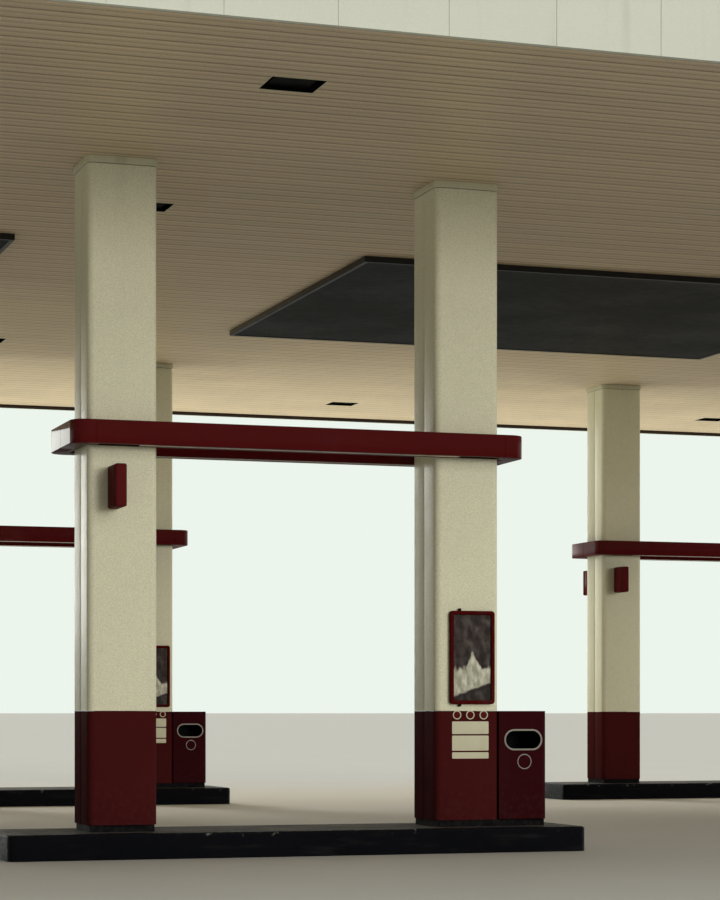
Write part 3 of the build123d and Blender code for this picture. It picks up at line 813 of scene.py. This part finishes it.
def make_columns():
    """Bent sheets in two halves and two heights, with a shadow gap under a round-edged collar."""
    for side, name in ((-1, "front"), (1, "back")):
        plan = half_sheet(side)
        dado = raised(plan, CLADDING_BOTTOM, DADO_TOP - DADO_JOINT / 2)
        add_piece(
            f"dado_sheets_{name}", "cladding_red", copies(dado, COLUMNS), [f"dado_{name}_halves"]
        )
        upper = raised(plan, DADO_TOP + DADO_JOINT / 2, CLADDING_TOP - COLLAR_SHADOW)
        for row, places in (("near", NEAR_COLUMNS), ("far", FAR_COLUMNS)):
            add_piece(
                f"cladding_sheets_{name}_{row}", "cladding_cream", copies(upper, places),
                [f"cladding_{name}_{row}"],
            )
    side = COLUMN_SIDE + 2 * COLLAR_PROUD
    corner = COLUMN_CORNER + COLLAR_PROUD
    collar = rounded_block(side, side, CLADDING_TOP, SOFFIT_Z, corner, COLLAR_EDGE)
    add_piece("head_collars", "collar_cream", copies(collar, COLUMNS), ["collars"])


# Box band: a ring between two outlines, in four lengths, with a slot for the light strip
def band_outlines():
    """The ring's outer and inner outlines in plan, with as many points each."""
    outer = rounded_outline(2 * BAND_HALF_LENGTH, 2 * BAND_HALF_WIDTH, BAND_CORNER, BAND_STEPS)
    length, width = BAND_HALF_LENGTH - BAND_END_DEPTH, BAND_HALF_WIDTH - BAND_DEPTH
    return outer, rounded_outline(2 * length, 2 * width, BAND_INNER_CORNER, BAND_STEPS)


def band_profile():
    """The ring's section: a rectangle with small round corners."""
    return ring_profile(BAND_DEPTH, BAND_BOTTOM, BAND_TOP, BAND_EDGE)


def slotted_profile(depth):
    """The band's profile with a recess of a given depth in its underside: the rounded
    rectangle, with four points more where the slot's edges are."""
    profile = band_profile()
    lip = 0.5 - BAND_SLOT_WIDTH / 2 / BAND_DEPTH
    recess = [
        (1 - lip, BAND_BOTTOM), (1 - lip, BAND_BOTTOM + depth),
        (lip, BAND_BOTTOM + depth), (lip, BAND_BOTTOM),
    ]
    before = 3 * (len(profile) // 4)
    return np.concatenate([profile[:before], recess, profile[before:]])


def make_band_lengths():
    """The straight lengths: the profile carried along X, its slot going in and out in one step
    near each end, with a cover between the slot's end and the diffuser's."""
    reach = BAND_STRAIGHT - BAND_JOINT / 2
    slot = BAND_STRAIGHT - BAND_SLOT_STOP
    stations = np.array([-reach, -slot, -slot, slot, slot, reach])
    depths = np.array([0.0, 0.0, BAND_SLOT_DEPTH, BAND_SLOT_DEPTH, 0.0, 0.0])
    profile = np.stack([slotted_profile(d) for d in depths])
    start = BAND_SLOT_LENGTH / 2 + DIFFUSER_LAP
    covers = []
    for name, side in (("front", -1), ("back", 1)):
        outer_line = np.column_stack([stations, np.full(len(stations), side * BAND_HALF_WIDTH)])
        inner_line = outer_line - (0.0, side * BAND_DEPTH)
        length = between(outer_line, inner_line, profile, closed=False)
        add_piece(f"band_{name}", "band_red", copies(length, ISLANDS), [f"band_{name}_lengths"])
        for end in (-1, 1):
            covers.append(rounded_block(
                slot - start - COVER_PLAY, BAND_SLOT_WIDTH - 2 * COVER_PLAY,
                BAND_BOTTOM + COVER_RECESS, BAND_BOTTOM + BAND_SLOT_DEPTH,
                corner=0.003, edge=0.001, steps=2,
                centre=(end * (start + slot) / 2, side * (BAND_HALF_WIDTH - BAND_DEPTH / 2)),
            ))
    add_piece("band_slot_covers", "light_black", copies(combined(covers), ISLANDS))


def make_band_ends():
    """The bent ends: half of the ring's two outlines, run on straight to where the lengths
    stop, with a fine V joint in the middle of the end face."""
    outer, inner = band_outlines()
    quarter = BAND_STEPS + 1
    start = BAND_STRAIGHT + BAND_JOINT / 2
    seam_depth = np.array([0.0, END_SEAM_DEPTH, END_SEAM_DEPTH, 0.0])
    seam_y = np.array([-END_SEAM_MOUTH, -END_SEAM_FLOOR, END_SEAM_FLOOR, END_SEAM_MOUTH])
    for name, sign, roll in (("right", 1, quarter), ("left", -1, -quarter)):
        outside = np.roll(outer, roll, 0)[: 2 * quarter]
        inside = np.roll(inner, roll, 0)[: 2 * quarter]
        seam_outer = np.column_stack([sign * (BAND_HALF_LENGTH - seam_depth), sign * seam_y])
        seam_inner = np.column_stack([np.full(4, inside[quarter, 0]), sign * seam_y])
        lines = [
            np.concatenate([
                [(sign * start, line[0, 1])], line[:quarter], seam, line[quarter:],
                [(sign * start, line[-1, 1])],
            ])
            for line, seam in ((outside, seam_outer), (inside, seam_inner))
        ]
        end = between(*lines, band_profile(), closed=False)
        add_piece(f"band_end_{name}", "band_red", copies(end, ISLANDS), [f"band_{name}_ends"])


# Fittings on the columns
def make_flags():
    """Light boxes on edge: a body against the wall and a rounded cap at the free edge, with a
    fine groove between them over an inner core."""
    cap_start = FLAG_BODY_REACH + FLAG_GROOVE
    core_width, core_reach = FLAG_WIDTH - 2 * FLAG_CORE_INSET, FLAG_REACH - 2 * FLAG_CORE_INSET
    boxes = []
    for side, shift in FLAG_SHIFTS:
        for width, reach, start, inset, corner, edge in (
            (core_width, core_reach, 0.0, FLAG_CORE_INSET, 0.016, 0.008),
            (FLAG_WIDTH, FLAG_BODY_REACH, 0.0, 0.0, 0.018, 0.020),
            (FLAG_WIDTH, FLAG_REACH - cap_start, cap_start, 0.0, 0.022, 0.018),
        ):
            boxes.append(rounded_block(
                width, reach, FLAG_BOTTOM + inset, FLAG_TOP - inset, corner, edge, steps=6,
                centre=(shift, side * (HALF_SIDE + start + reach / 2)),
            ))
    add_piece("flag_light_boxes", "sign_red", copies(combined(boxes), LEFT_COLUMNS), ["flag_signs"])


def make_posters():
    """A frame of round-edged rails with a catch above and below, and a stiff sheet inside it
    whose map goes from 0 to 1 over its width and its height."""
    middle = (0.0, POSTER_BOTTOM + POSTER_HEIGHT / 2)
    width, height = POSTER_WIDTH - 2 * POSTER_RAIL, POSTER_HEIGHT - 2 * POSTER_RAIL
    rails = between(
        rounded_outline(POSTER_WIDTH, POSTER_HEIGHT, POSTER_CORNER, steps=6, centre=middle),
        rounded_outline(width, height, radius=0.008, steps=6, centre=middle),
        ring_profile(POSTER_RAIL, 0.0, POSTER_DEPTH, edge=0.009),
    )
    catches = combined([
        rounded_block(
            CATCH_WIDTH, CATCH_HEIGHT, 0.004, 0.030, corner=0.005, edge=0.002, steps=3,
            centre=(CATCH_SHIFT, middle[1] + end * (POSTER_HEIGHT / 2 + CATCH_PROUD)),
        )
        for end in (-1, 1)
    ])
    sheet = rounded_block(
        width, height, 0.0, POSTER_SHEET, corner=0.002, edge=0.0005, steps=2, centre=middle
    )
    share = (sheet[0][:, :2] - middle) / (width, height) + 0.5
    sheet_map = np.tile(share, (2 * len(RIGHT_COLUMNS), 1))
    for name, slot, surface, nodes, piece_map in (
        ("poster_rails", "frame_red", rails, ["poster_frames"], None),
        ("poster_catches", "plinth_black", catches, (), None),
        ("poster_sheets", "poster_print", sheet, ["poster_boards"], sheet_map),
    ):
        on_walls = both_sides(surface, HALF_SIDE, POSTER_SHIFT)
        add_piece(name, slot, copies(on_walls, RIGHT_COLUMNS), nodes, sheet_map=piece_map)


def disc_outline(radius, centre, steps=6):
    """A circle: a square whose corners are as round as they can be."""
    return rounded_outline(2 * radius, 2 * radius, radius, steps, centre)


def make_plates():
    """Bare plates and ringed discs on the dado under each poster."""
    pale = [
        rounded_block(
            PLATE_WIDTH, high - low, 0.0, PLATE_THICKNESS, corner=0.008, edge=0.0015, steps=4,
            centre=(PLATE_SHIFT, (low + high) / 2),
        )
        for low, high in PLATE_HEIGHTS
    ]
    red = []
    hole = DISC_RADIUS - DISC_RING
    field = hole + DISC_LAP
    for shift in DISC_SHIFTS:
        centre = (shift, DISC_Z)
        profile = ring_profile(DISC_RING, 0.0, RING_THICKNESS, edge=0.001, steps=2)
        pale.append(between(disc_outline(DISC_RADIUS, centre), disc_outline(hole, centre), profile))
        red.append(rounded_block(
            2 * field, 2 * field, 0.0, DISC_THICKNESS, corner=field, edge=0.0005, steps=6,
            centre=centre,
        ))
    for name, slot, parts in (
        ("notice_plates", "collar_cream", pale), ("notice_fields", "sign_red", red),
    ):
        on_walls = both_sides(combined(parts), HALF_SIDE)
        add_piece(name, slot, copies(on_walls, RIGHT_COLUMNS))


# Waste bins
def mouth_outline(grow, steps=8):
    """The bins' mouth, a rectangle with half-round ends, grown by a distance all round."""
    height = MOUTH_HEIGHT + 2 * grow
    return rounded_outline(MOUTH_LENGTH + 2 * grow, height, height / 2, steps, (0.0, MOUTH_Z))


def squared_outline(left, right, bottom, top, steps=8):
    """The mouth's outline pushed out to a rectangle: in each quarter the points run from the
    arc's start straight to the corner, then straight to the arc's end."""
    corner = np.repeat(np.arange(4), steps + 1)
    part = np.tile(np.linspace(0, 1, steps + 1), 4)
    rise, fall = np.minimum(1, 2 * part), np.minimum(1, 2 - 2 * part)
    even = corner % 2 == 0
    on_right = (corner == 0) | (corner == 3)
    start_x = np.where(on_right, 1, -1) * (MOUTH_LENGTH - MOUTH_HEIGHT) / 2
    edge_x = np.where(on_right, right, left)
    edge_z = np.where(corner < 2, top, bottom)
    x = start_x + (edge_x - start_x) * np.where(even, fall, rise)
    z = MOUTH_Z + (edge_z - MOUTH_Z) * np.where(even, rise, fall)
    return np.stack([x, z], axis=1)


def right_half(length, width, radius):
    """The right-hand half of a rounded rectangle, from its lower corner to its upper one."""
    outline = rounded_outline(length, width, radius)
    quarter = len(outline) // 4
    return np.roll(outline, quarter, 0)[: 2 * quarter]


def make_bins():
    """Sheet housing: two fronts, each between the mouth and a rectangle, a wrap that bends
    round the outer corners, a lid, a floor and a side next to the column."""
    left = -BIN_LENGTH / 2
    right = BIN_LENGTH / 2 - BIN_CORNER
    sheet = np.array([(0, 0), (1, 0), (1, -BIN_WALL), (0, -BIN_WALL)], float)
    fronts = []
    for side, start, end in ((-1, left, right), (1, -right, -left)):
        square = squared_outline(start, end, CLADDING_BOTTOM, DADO_TOP)
        points, faces = facing(between(square, mouth_outline(0.0), sheet), side)
        fronts.append((points + (BIN_CENTRE, side * HALF_SIDE, 0), faces))

    reach = BIN_CORNER + BIN_WRAP
    outside = right_half(2 * reach, COLUMN_SIDE, BIN_CORNER)
    inside = right_half(2 * (reach - BIN_WALL), COLUMN_SIDE - 2 * BIN_WALL, BIN_CORNER - BIN_WALL)
    plan = np.concatenate([outside, inside[::-1]]) + (HALF_SIDE + BIN_LENGTH - reach, 0)
    wrap = raised(plan, CLADDING_BOTTOM, DADO_TOP)

    corners = [(0.0, HALF_SIDE), (0.0, -HALF_SIDE)]
    level_plan = np.concatenate([right_half(2 * BIN_LENGTH, COLUMN_SIDE, BIN_CORNER), corners])
    level_plan = level_plan + (HALF_SIDE, 0)
    lid = raised(level_plan, DADO_TOP - BIN_WALL, DADO_TOP)
    floor = raised(level_plan, CLADDING_BOTTOM, CLADDING_BOTTOM + BIN_WALL)
    inner_side = rounded_block(
        BIN_WALL, COLUMN_SIDE - 2 * BIN_WALL, CLADDING_BOTTOM + BIN_WALL, DADO_TOP - BIN_WALL,
        corner=0.001, edge=0.0005, steps=2, centre=(HALF_SIDE + BIN_GAP + BIN_WALL / 2, 0.0),
    )
    housing = combined(fronts + [wrap, lid, floor, inner_side])
    add_piece("bin_panels", "bin_red", copies(housing, RIGHT_COLUMNS), ["bin_housings"])


def make_bin_fittings():
    """A rim round each mouth, a black baffle across the inside that stands for a dark liner and the
    painted shade in the bin, and a ringed disc under the mouth.
    """
    rim = between(
        mouth_outline(RIM_WIDTH), mouth_outline(0.0),
        ring_profile(RIM_WIDTH, 0.0, RIM_PROUD, edge=0.0028),
    )
    rims = both_sides(rim, HALF_SIDE, BIN_CENTRE)
    add_piece("bin_mouth_rims", "rim_pale", copies(rims, RIGHT_COLUMNS), ["bin_rims"])

    # Black baffle: partly a dark liner, partly painted shade inside the bin, so the mouths read
    # dark
    liner_and_shade_baffle = rounded_block(
        BIN_LENGTH - 2 * BIN_WALL, BAFFLE_THICKNESS, BAFFLE_BOTTOM, DADO_TOP - BIN_WALL,
        corner=0.002, edge=0.001, steps=2, centre=(BIN_CENTRE, 0.0),
    )
    add_piece("bin_liner_and_shade_baffles", "plinth_black", copies(liner_and_shade_baffle, RIGHT_COLUMNS))

    centre = (BADGE_SHIFT, BADGE_Z)
    hole = BADGE_RADIUS - BADGE_RING
    field = hole + DISC_LAP
    badge = rounded_block(
        2 * field, 2 * field, 0.0, DISC_THICKNESS, corner=field, edge=0.0008, steps=8,
        centre=centre,
    )
    ring = between(
        disc_outline(BADGE_RADIUS, centre, 8), disc_outline(hole, centre, 8),
        ring_profile(BADGE_RING, 0.0, RING_THICKNESS, edge=0.001, steps=2),
    )
    for name, slot, surface in (
        ("bin_badges", "bin_red", badge), ("bin_badge_rings", "rim_pale", ring),
    ):
        on_fronts = both_sides(surface, HALF_SIDE, BIN_CENTRE)
        add_piece(name, slot, copies(on_fronts, RIGHT_COLUMNS))


# Islands
def make_kerbs():
    """Kerb ring: the profile is a rectangle whose top outer corner is a quarter circle."""
    outer = rounded_outline(ISLAND_LENGTH, ISLAND_WIDTH, ISLAND_CORNER)
    length, width = ISLAND_LENGTH - 2 * KERB_WIDTH, ISLAND_WIDTH - 2 * KERB_WIDTH
    inner = rounded_outline(length, width, KERB_INNER_CORNER)
    turn = np.linspace(0, np.pi / 2, 6)
    share = KERB_NOSE * (1 - np.cos(turn)) / KERB_WIDTH
    height = ISLAND_HEIGHT - KERB_NOSE + KERB_NOSE * np.sin(turn)
    profile = np.concatenate([
        [(0.0, 0.0)], np.column_stack([share, height]), [(1.0, ISLAND_HEIGHT), (1.0, 0.0)]
    ])
    kerb = between(outer, inner, profile)
    for name, places in (("near", NEAR_ISLANDS), ("far", FAR_ISLANDS)):
        add_piece(f"kerb_ring_{name}", "kerb_paint", copies(kerb, places), [f"kerbs_{name}"])


# Soffit, its lights and its hanging panels
def groove_of(number):
    """Depth and half-mouth of each numbered groove: even ones are at the planks' edges."""
    even = np.asarray(number)[..., None] % 2 == 0
    return np.moveaxis(np.where(even, EDGE_GROOVE, MIDDLE_GROOVE), -1, 0)


def soffit_height(y):
    """Height of the planks above their faces. It rises evenly to a groove's depth from its
    mouth's edge to half as far from its line, and is flat between grooves."""
    number = np.round(y / HALF_PLANK)
    depth, mouth = groove_of(number)
    off = np.abs(y - number * HALF_PLANK)
    return depth * np.clip((mouth - off) / (mouth * (1 - GROOVE_FLOOR)), 0, 1)


def pierced_slab(x, y, under, top, holes):
    """A slab on a grid of x and y lines: its underside at the heights given for each y, its
    top flat, no cells where their middles lie in a hole (centre and half-sides), and a wall
    wherever a kept cell has no kept neighbour."""
    flat_x, flat_y = np.meshgrid(x, y, indexing="ij")
    lower = np.stack([flat_x, flat_y, np.broadcast_to(under, flat_x.shape)], axis=-1)
    upper = np.stack([flat_x, flat_y, np.full(flat_x.shape, top)], axis=-1)
    points = np.concatenate([lower.reshape(-1, 3), upper.reshape(-1, 3)])
    index = np.arange(flat_x.size).reshape(flat_x.shape)
    middle_x, middle_y = (x[1:] + x[:-1]) / 2, (y[1:] + y[:-1]) / 2
    in_x = np.abs(middle_x[:, None] - holes[:, 0]) < holes[:, 2]
    in_y = np.abs(middle_y[:, None] - holes[:, 1]) < holes[:, 3]
    kept = ~(in_x[:, None, :] & in_y[None, :, :]).any(-1)
    cells = np.stack([index[:-1, :-1], index[:-1, 1:], index[1:, 1:], index[1:, :-1]], axis=-1)
    cells = cells[kept]
    padded = np.pad(kept, 1)
    change_x = padded[1:, 1:-1] != padded[:-1, 1:-1]
    change_y = padded[1:-1, 1:] != padded[1:-1, :-1]
    edges = np.concatenate([
        np.stack([index[:, :-1][change_x], index[:, 1:][change_x]], axis=-1),
        np.stack([index[:-1, :][change_y], index[1:, :][change_y]], axis=-1),
    ])
    walls = np.concatenate([edges, edges[:, ::-1] + flat_x.size], axis=1)
    return points, [cells, cells[:, ::-1] + flat_x.size, walls]


def make_soffit():
    """Planks: across the roof the grid's lines are the sides and bottoms of the grooves, and
    both ways they are the sides of the holes for the lights and the posts."""
    light_cut, post_cut = (HOLE_LENGTH / 2, HOLE_WIDTH / 2), (POST_HOLE / 2, POST_HOLE / 2)
    holes = np.concatenate([
        np.column_stack([places[:, :2], np.tile(cut, (len(places), 1))])
        for places, cut in ((LIGHTS, light_cut), (COLUMNS, post_cut))
    ])
    hole_x, hole_y = (
        np.concatenate([holes[:, axis] - holes[:, axis + 2], holes[:, axis] + holes[:, axis + 2]])
        for axis in (0, 1)
    )
    for name in ("front", "middle", "back"):
        low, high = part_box(f"soffit_{name}")
        first, last = math.floor(low.y / HALF_PLANK), math.ceil(high.y / HALF_PLANK)
        numbers = np.arange(first, last + 1)
        mouths = groove_of(numbers)[1]
        steps = np.array([-1.0, -GROOVE_FLOOR, GROOVE_FLOOR, 1.0])
        grooves = (numbers * HALF_PLANK)[:, None] + mouths[:, None] * steps
        x = np.unique(np.round(np.concatenate([hole_x, [low.x, high.x]]), 6))
        y = np.concatenate([grooves.ravel(), hole_y, [low.y, high.y]])
        y = np.unique(np.round(y[(y >= low.y) & (y <= high.y)], 6))
        slab = pierced_slab(x, y, SOFFIT_Z + soffit_height(y), high.z, holes)
        add_piece(f"soffit_planks_{name}", "soffit_cream", slab, [f"soffit_{name}"], sharp=20)


def make_lights():
    """Recessed lights: a slim frame, sides and a lid coloured black as painted shade in the recess,
    and a ledge that carries the lens.
    """
    hole, outer, well, ledge = (
        rounded_outline(length, width, radius, steps=3)
        for length, width, radius in (
            (HOLE_LENGTH, HOLE_WIDTH, 0.003),
            (HOLE_LENGTH + 2 * LIGHT_FRAME, HOLE_WIDTH + 2 * LIGHT_FRAME, 0.006),
            (HOLE_LENGTH - 2 * WELL_WALL, HOLE_WIDTH - 2 * WELL_WALL, 0.002),
            (LIGHT_LENGTH - 2 * LEDGE_LAP, LIGHT_WIDTH - 2 * LEDGE_LAP, 0.002),
        )
    )
    frame_profile = ring_profile(
        LIGHT_FRAME, -LIGHT_FRAME_PROUD, WELL_OVERLAP, edge=0.001, steps=2
    )
    wall_profile = ring_profile(WELL_WALL, -WELL_OVERLAP, WELL_TOP, edge=0.0005, steps=2)
    ledge_profile = ring_profile(LEDGE_WIDTH, LEDGE_BOTTOM, LEDGE_TOP, edge=0.001, steps=2)
    lid = rounded_block(
        HOLE_LENGTH - LID_PLAY, HOLE_WIDTH - LID_PLAY, LID_BOTTOM, LID_TOP,
        corner=0.003, edge=0.0005, steps=3,
    )
    wells = combined([between(hole, well, wall_profile), between(well, ledge, ledge_profile), lid])
    places = LIGHTS + (0.0, 0.0, SOFFIT_Z)
    rim = between(outer, hole, frame_profile)
    add_piece("light_frames", "collar_cream", copies(rim, places), ["light_housings"])
    add_piece("light_shade_wells", "light_black", copies(wells, places), ["light_housings"])


def make_dropped_frames():
    """Angle frames: a flange ring and an upstand ring round each hanging panel."""
    low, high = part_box("dropped_frames")
    length, width = (high.x - low.x) / 2 - DROPPED_START, high.y - low.y
    outer = rounded_outline(length, width, radius=0.006, steps=4)
    rings = combined([
        between(
            outer, rounded_outline(length - 2 * leg, width - 2 * leg, radius=0.003, steps=4),
            ring_profile(leg, low.z, top, edge=0.002, steps=3),
        )
        for leg, top in ((DROPPED_FLANGE, low.z + DROPPED_SHEET), (DROPPED_SHEET, high.z))
    ])
    places = [(side * (DROPPED_START + length / 2), 0.0, 0.0) for side in (-1, 1)]
    add_piece("panel_angles", "panel_frame", copies(rings, places), ["dropped_frames"])


# Fascia: boards with a fine joint at each panel's edge
def jointed_board(start, end, first_joint, face, back):
    """Plan of a board along X: its outer face steps back in a notch with sloping sides at each
    joint, a panel's length apart, but for joints too near the board's ends."""
    low, high = start + FASCIA_LEAST_PANEL, end - FASCIA_LEAST_PANEL
    first = math.ceil((low - first_joint) / FASCIA_PANEL)
    last = math.floor((high - first_joint) / FASCIA_PANEL)
    joints = first_joint + np.arange(first, last + 1) * FASCIA_PANEL
    along = np.array([
        -FASCIA_JOINT_MOUTH, -FASCIA_JOINT_FLOOR, FASCIA_JOINT_FLOOR, FASCIA_JOINT_MOUTH
    ])
    inward = np.array([0.0, FASCIA_JOINT_DEPTH, FASCIA_JOINT_DEPTH, 0.0])
    notch_x = (joints[:, None] + along).ravel()
    notch_y = face + np.sign(back - face) * np.tile(inward, len(joints))
    notches = np.column_stack([notch_x, notch_y])
    return np.concatenate([[(start, face)], notches, [(end, face), (end, back), (start, back)]])


def make_fascias():
    """Boards on the four sides: the left and right ones are drawn along X and swapped over."""
    for name, along, out, side, first_joint in (
        ("front", 0, 1, -1, FASCIA_JOINT_X), ("back", 0, 1, 1, FASCIA_JOINT_X),
        ("left", 1, 0, -1, 0.0), ("right", 1, 0, 1, 0.0),
    ):
        low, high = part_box(f"fascia_{name}")
        face, back = (low[out], high[out]) if side < 0 else (high[out], low[out])
        plan = jointed_board(low[along], high[along], first_joint, face, back)
        board = raised(plan[:, ::-1] if along else plan, low.z, high.z)
        add_piece(f"fascia_panels_{name}", "fascia_white", board, [f"fascia_{name}"])


make_columns()
make_band_lengths()
make_band_ends()
make_flags()
make_posters()
make_plates()
make_bins()
make_bin_fittings()
make_kerbs()
make_soffit()
make_lights()
make_dropped_frames()
make_fascias()

# Every node that stays as it was packed gets its finish
for part in frame["record"]["subparts"]:
    node = frame["nodes"][part["node"]]
    node.data.materials.clear()
    node.data.materials.append(FINISHES[part["material_slot"]])


# Stage: floor, light and camera
def link(item):
    """Puts a floor, lamp or camera into the scene."""
    bpy.context.scene.collection.objects.link(item)
    return item


def make_stage():
    """A plain pale floor that ends far past the roof, and that gloss doesn't mirror."""
    material, tree, shader = new_finish("studio_floor")
    pale = mixed(tree, noise(tree, 0.6, 3.0), (0.56, 0.55, 0.52), (0.61, 0.60, 0.57))
    feed(tree, shader, (("Base Color", pale), ("Roughness", 0.8)))
    corners = [
        (x * FLOOR_HALF_SIDE, y * FLOOR_HALF_SIDE, FLOOR_Z)
        for x, y in ((-1, -1), (1, -1), (1, 1), (-1, 1))
    ]
    mesh = bpy.data.meshes.new("studio_floor")
    mesh.from_pydata(corners, [], [(0, 1, 2, 3)])
    mesh.materials.append(material)
    floor = link(bpy.data.objects.new("studio_floor", mesh))
    floor.visible_glossy = False


def make_lamp(name, kind, power, colour, towards, place=(0.0, 0.0, 0.0), **settings):
    """A soft lamp that lights but isn't itself seen or mirrored; its settings give a sun's
    angle or a panel's sides."""
    lamp = bpy.data.lights.new(name, kind)
    lamp.energy = power
    lamp.color = colour
    for setting, value in settings.items():
        setattr(lamp, setting, value)
    holder = link(bpy.data.objects.new(name, lamp))
    holder.location = place
    holder.rotation_euler = Vector(towards).to_track_quat("-Z", "Y").to_euler()
    holder.visible_camera = False
    holder.visible_glossy = False


def patch_of(tree, way, direction, edge, full, power, base=0.0):
    """A soft patch in the surround: the base, and the power where a ray's way is close to a
    level direction, by the cosine between them."""
    close = add(tree, "VectorMath", ((0, way), (1, direction)), operation="DOT_PRODUCT")
    return spread(tree, close.outputs["Value"], edge, full, base, power)


def make_surround():
    """A pale surround that the camera sees almost white. Its light is the greater of two: a
    weak one from overhead, and one from low down, which adds up a wide patch at the back, a
    narrow bright one in it, and a patch on the right."""
    world = bpy.data.worlds.new("studio")
    bpy.context.scene.world = world
    world.use_nodes = True
    tree = world.node_tree
    way = add(tree, "TexCoord").outputs["Generated"]
    height = axis_of(tree, way, "Z")
    wide = patch_of(tree, way, (-0.25, 0.968, 0.0), 0.35, 0.98, 1.10, base=0.10)
    wide = times(tree, wide, spread(tree, height, -0.02, 0.05, 0.2, 1.0))
    narrow = patch_of(tree, way, (-0.19, 0.98, 0.0), 0.972, 0.992, 4.0)
    narrow = times(tree, narrow, spread(tree, height, 0.015, 0.05))
    right = patch_of(tree, way, (0.92, 0.39, 0.0), 0.70, 0.98, 0.9)
    overhead = spread(tree, height, 0.25, 0.60, 0.0, 0.62)
    shed = calc(tree, "MAXIMUM", plus(tree, plus(tree, wide, right), narrow), overhead)
    seen = add(tree, "LightPath").outputs["Is Camera Ray"]
    strength = add(tree, "Mix", ((0, seen), (2, shed), (3, 1.0)), data_type="FLOAT").outputs[0]
    feed(tree, tree.nodes["Background"], (
        ("Color", mixed(tree, seen, (0.98, 1.0, 0.93), (0.84, 0.91, 0.84))),
        ("Strength", strength),
    ))


def make_lamps():
    """Three soft suns: a low one and a higher, softer one light the fronts, and one lights the
    back. A panel just above the floor lights the soffit under the roof's far edge."""
    for name, power, colour, towards, width in (
        ("soft_front", 1.08, (1.0, 0.98, 0.93), (-0.331, 0.944, -0.072), 14),
        ("soft_key", 0.75, (1.0, 0.97, 0.90), (-0.35, 0.87, -0.32), 30),
        ("soft_back", 1.4, (1.0, 0.96, 0.88), (0.25, -0.80, -0.50), 15),
    ):
        make_lamp(name, "SUN", power, colour, towards, angle=math.radians(width))
    make_lamp(
        "floor_bounce", "AREA", 1450.0, (0.94, 1.0, 0.92), towards=(0.0, 0.0, 1.0),
        place=(0.0, 11.5, 0.15), shape="RECTANGLE", size=36.0, size_y=8.0,
    )


def make_camera():
    """The photograph's view: level, with the picture raised by the lens's shift."""
    camera = bpy.data.cameras.new("photo_view")
    camera.sensor_width = VIEW_SENSOR
    camera.lens = VIEW_LENS
    camera.shift_y = VIEW_RISE
    camera.clip_end = VIEW_FAR_END
    holder = link(bpy.data.objects.new("photo_view", camera))
    holder.location = VIEW_PLACE
    holder.rotation_euler = (math.radians(90), 0.0, math.radians(VIEW_TURN))
    bpy.context.scene.camera = holder


make_stage()
make_surround()
make_lamps()
make_camera()
bpy.context.scene.view_settings.view_transform = "Standard"
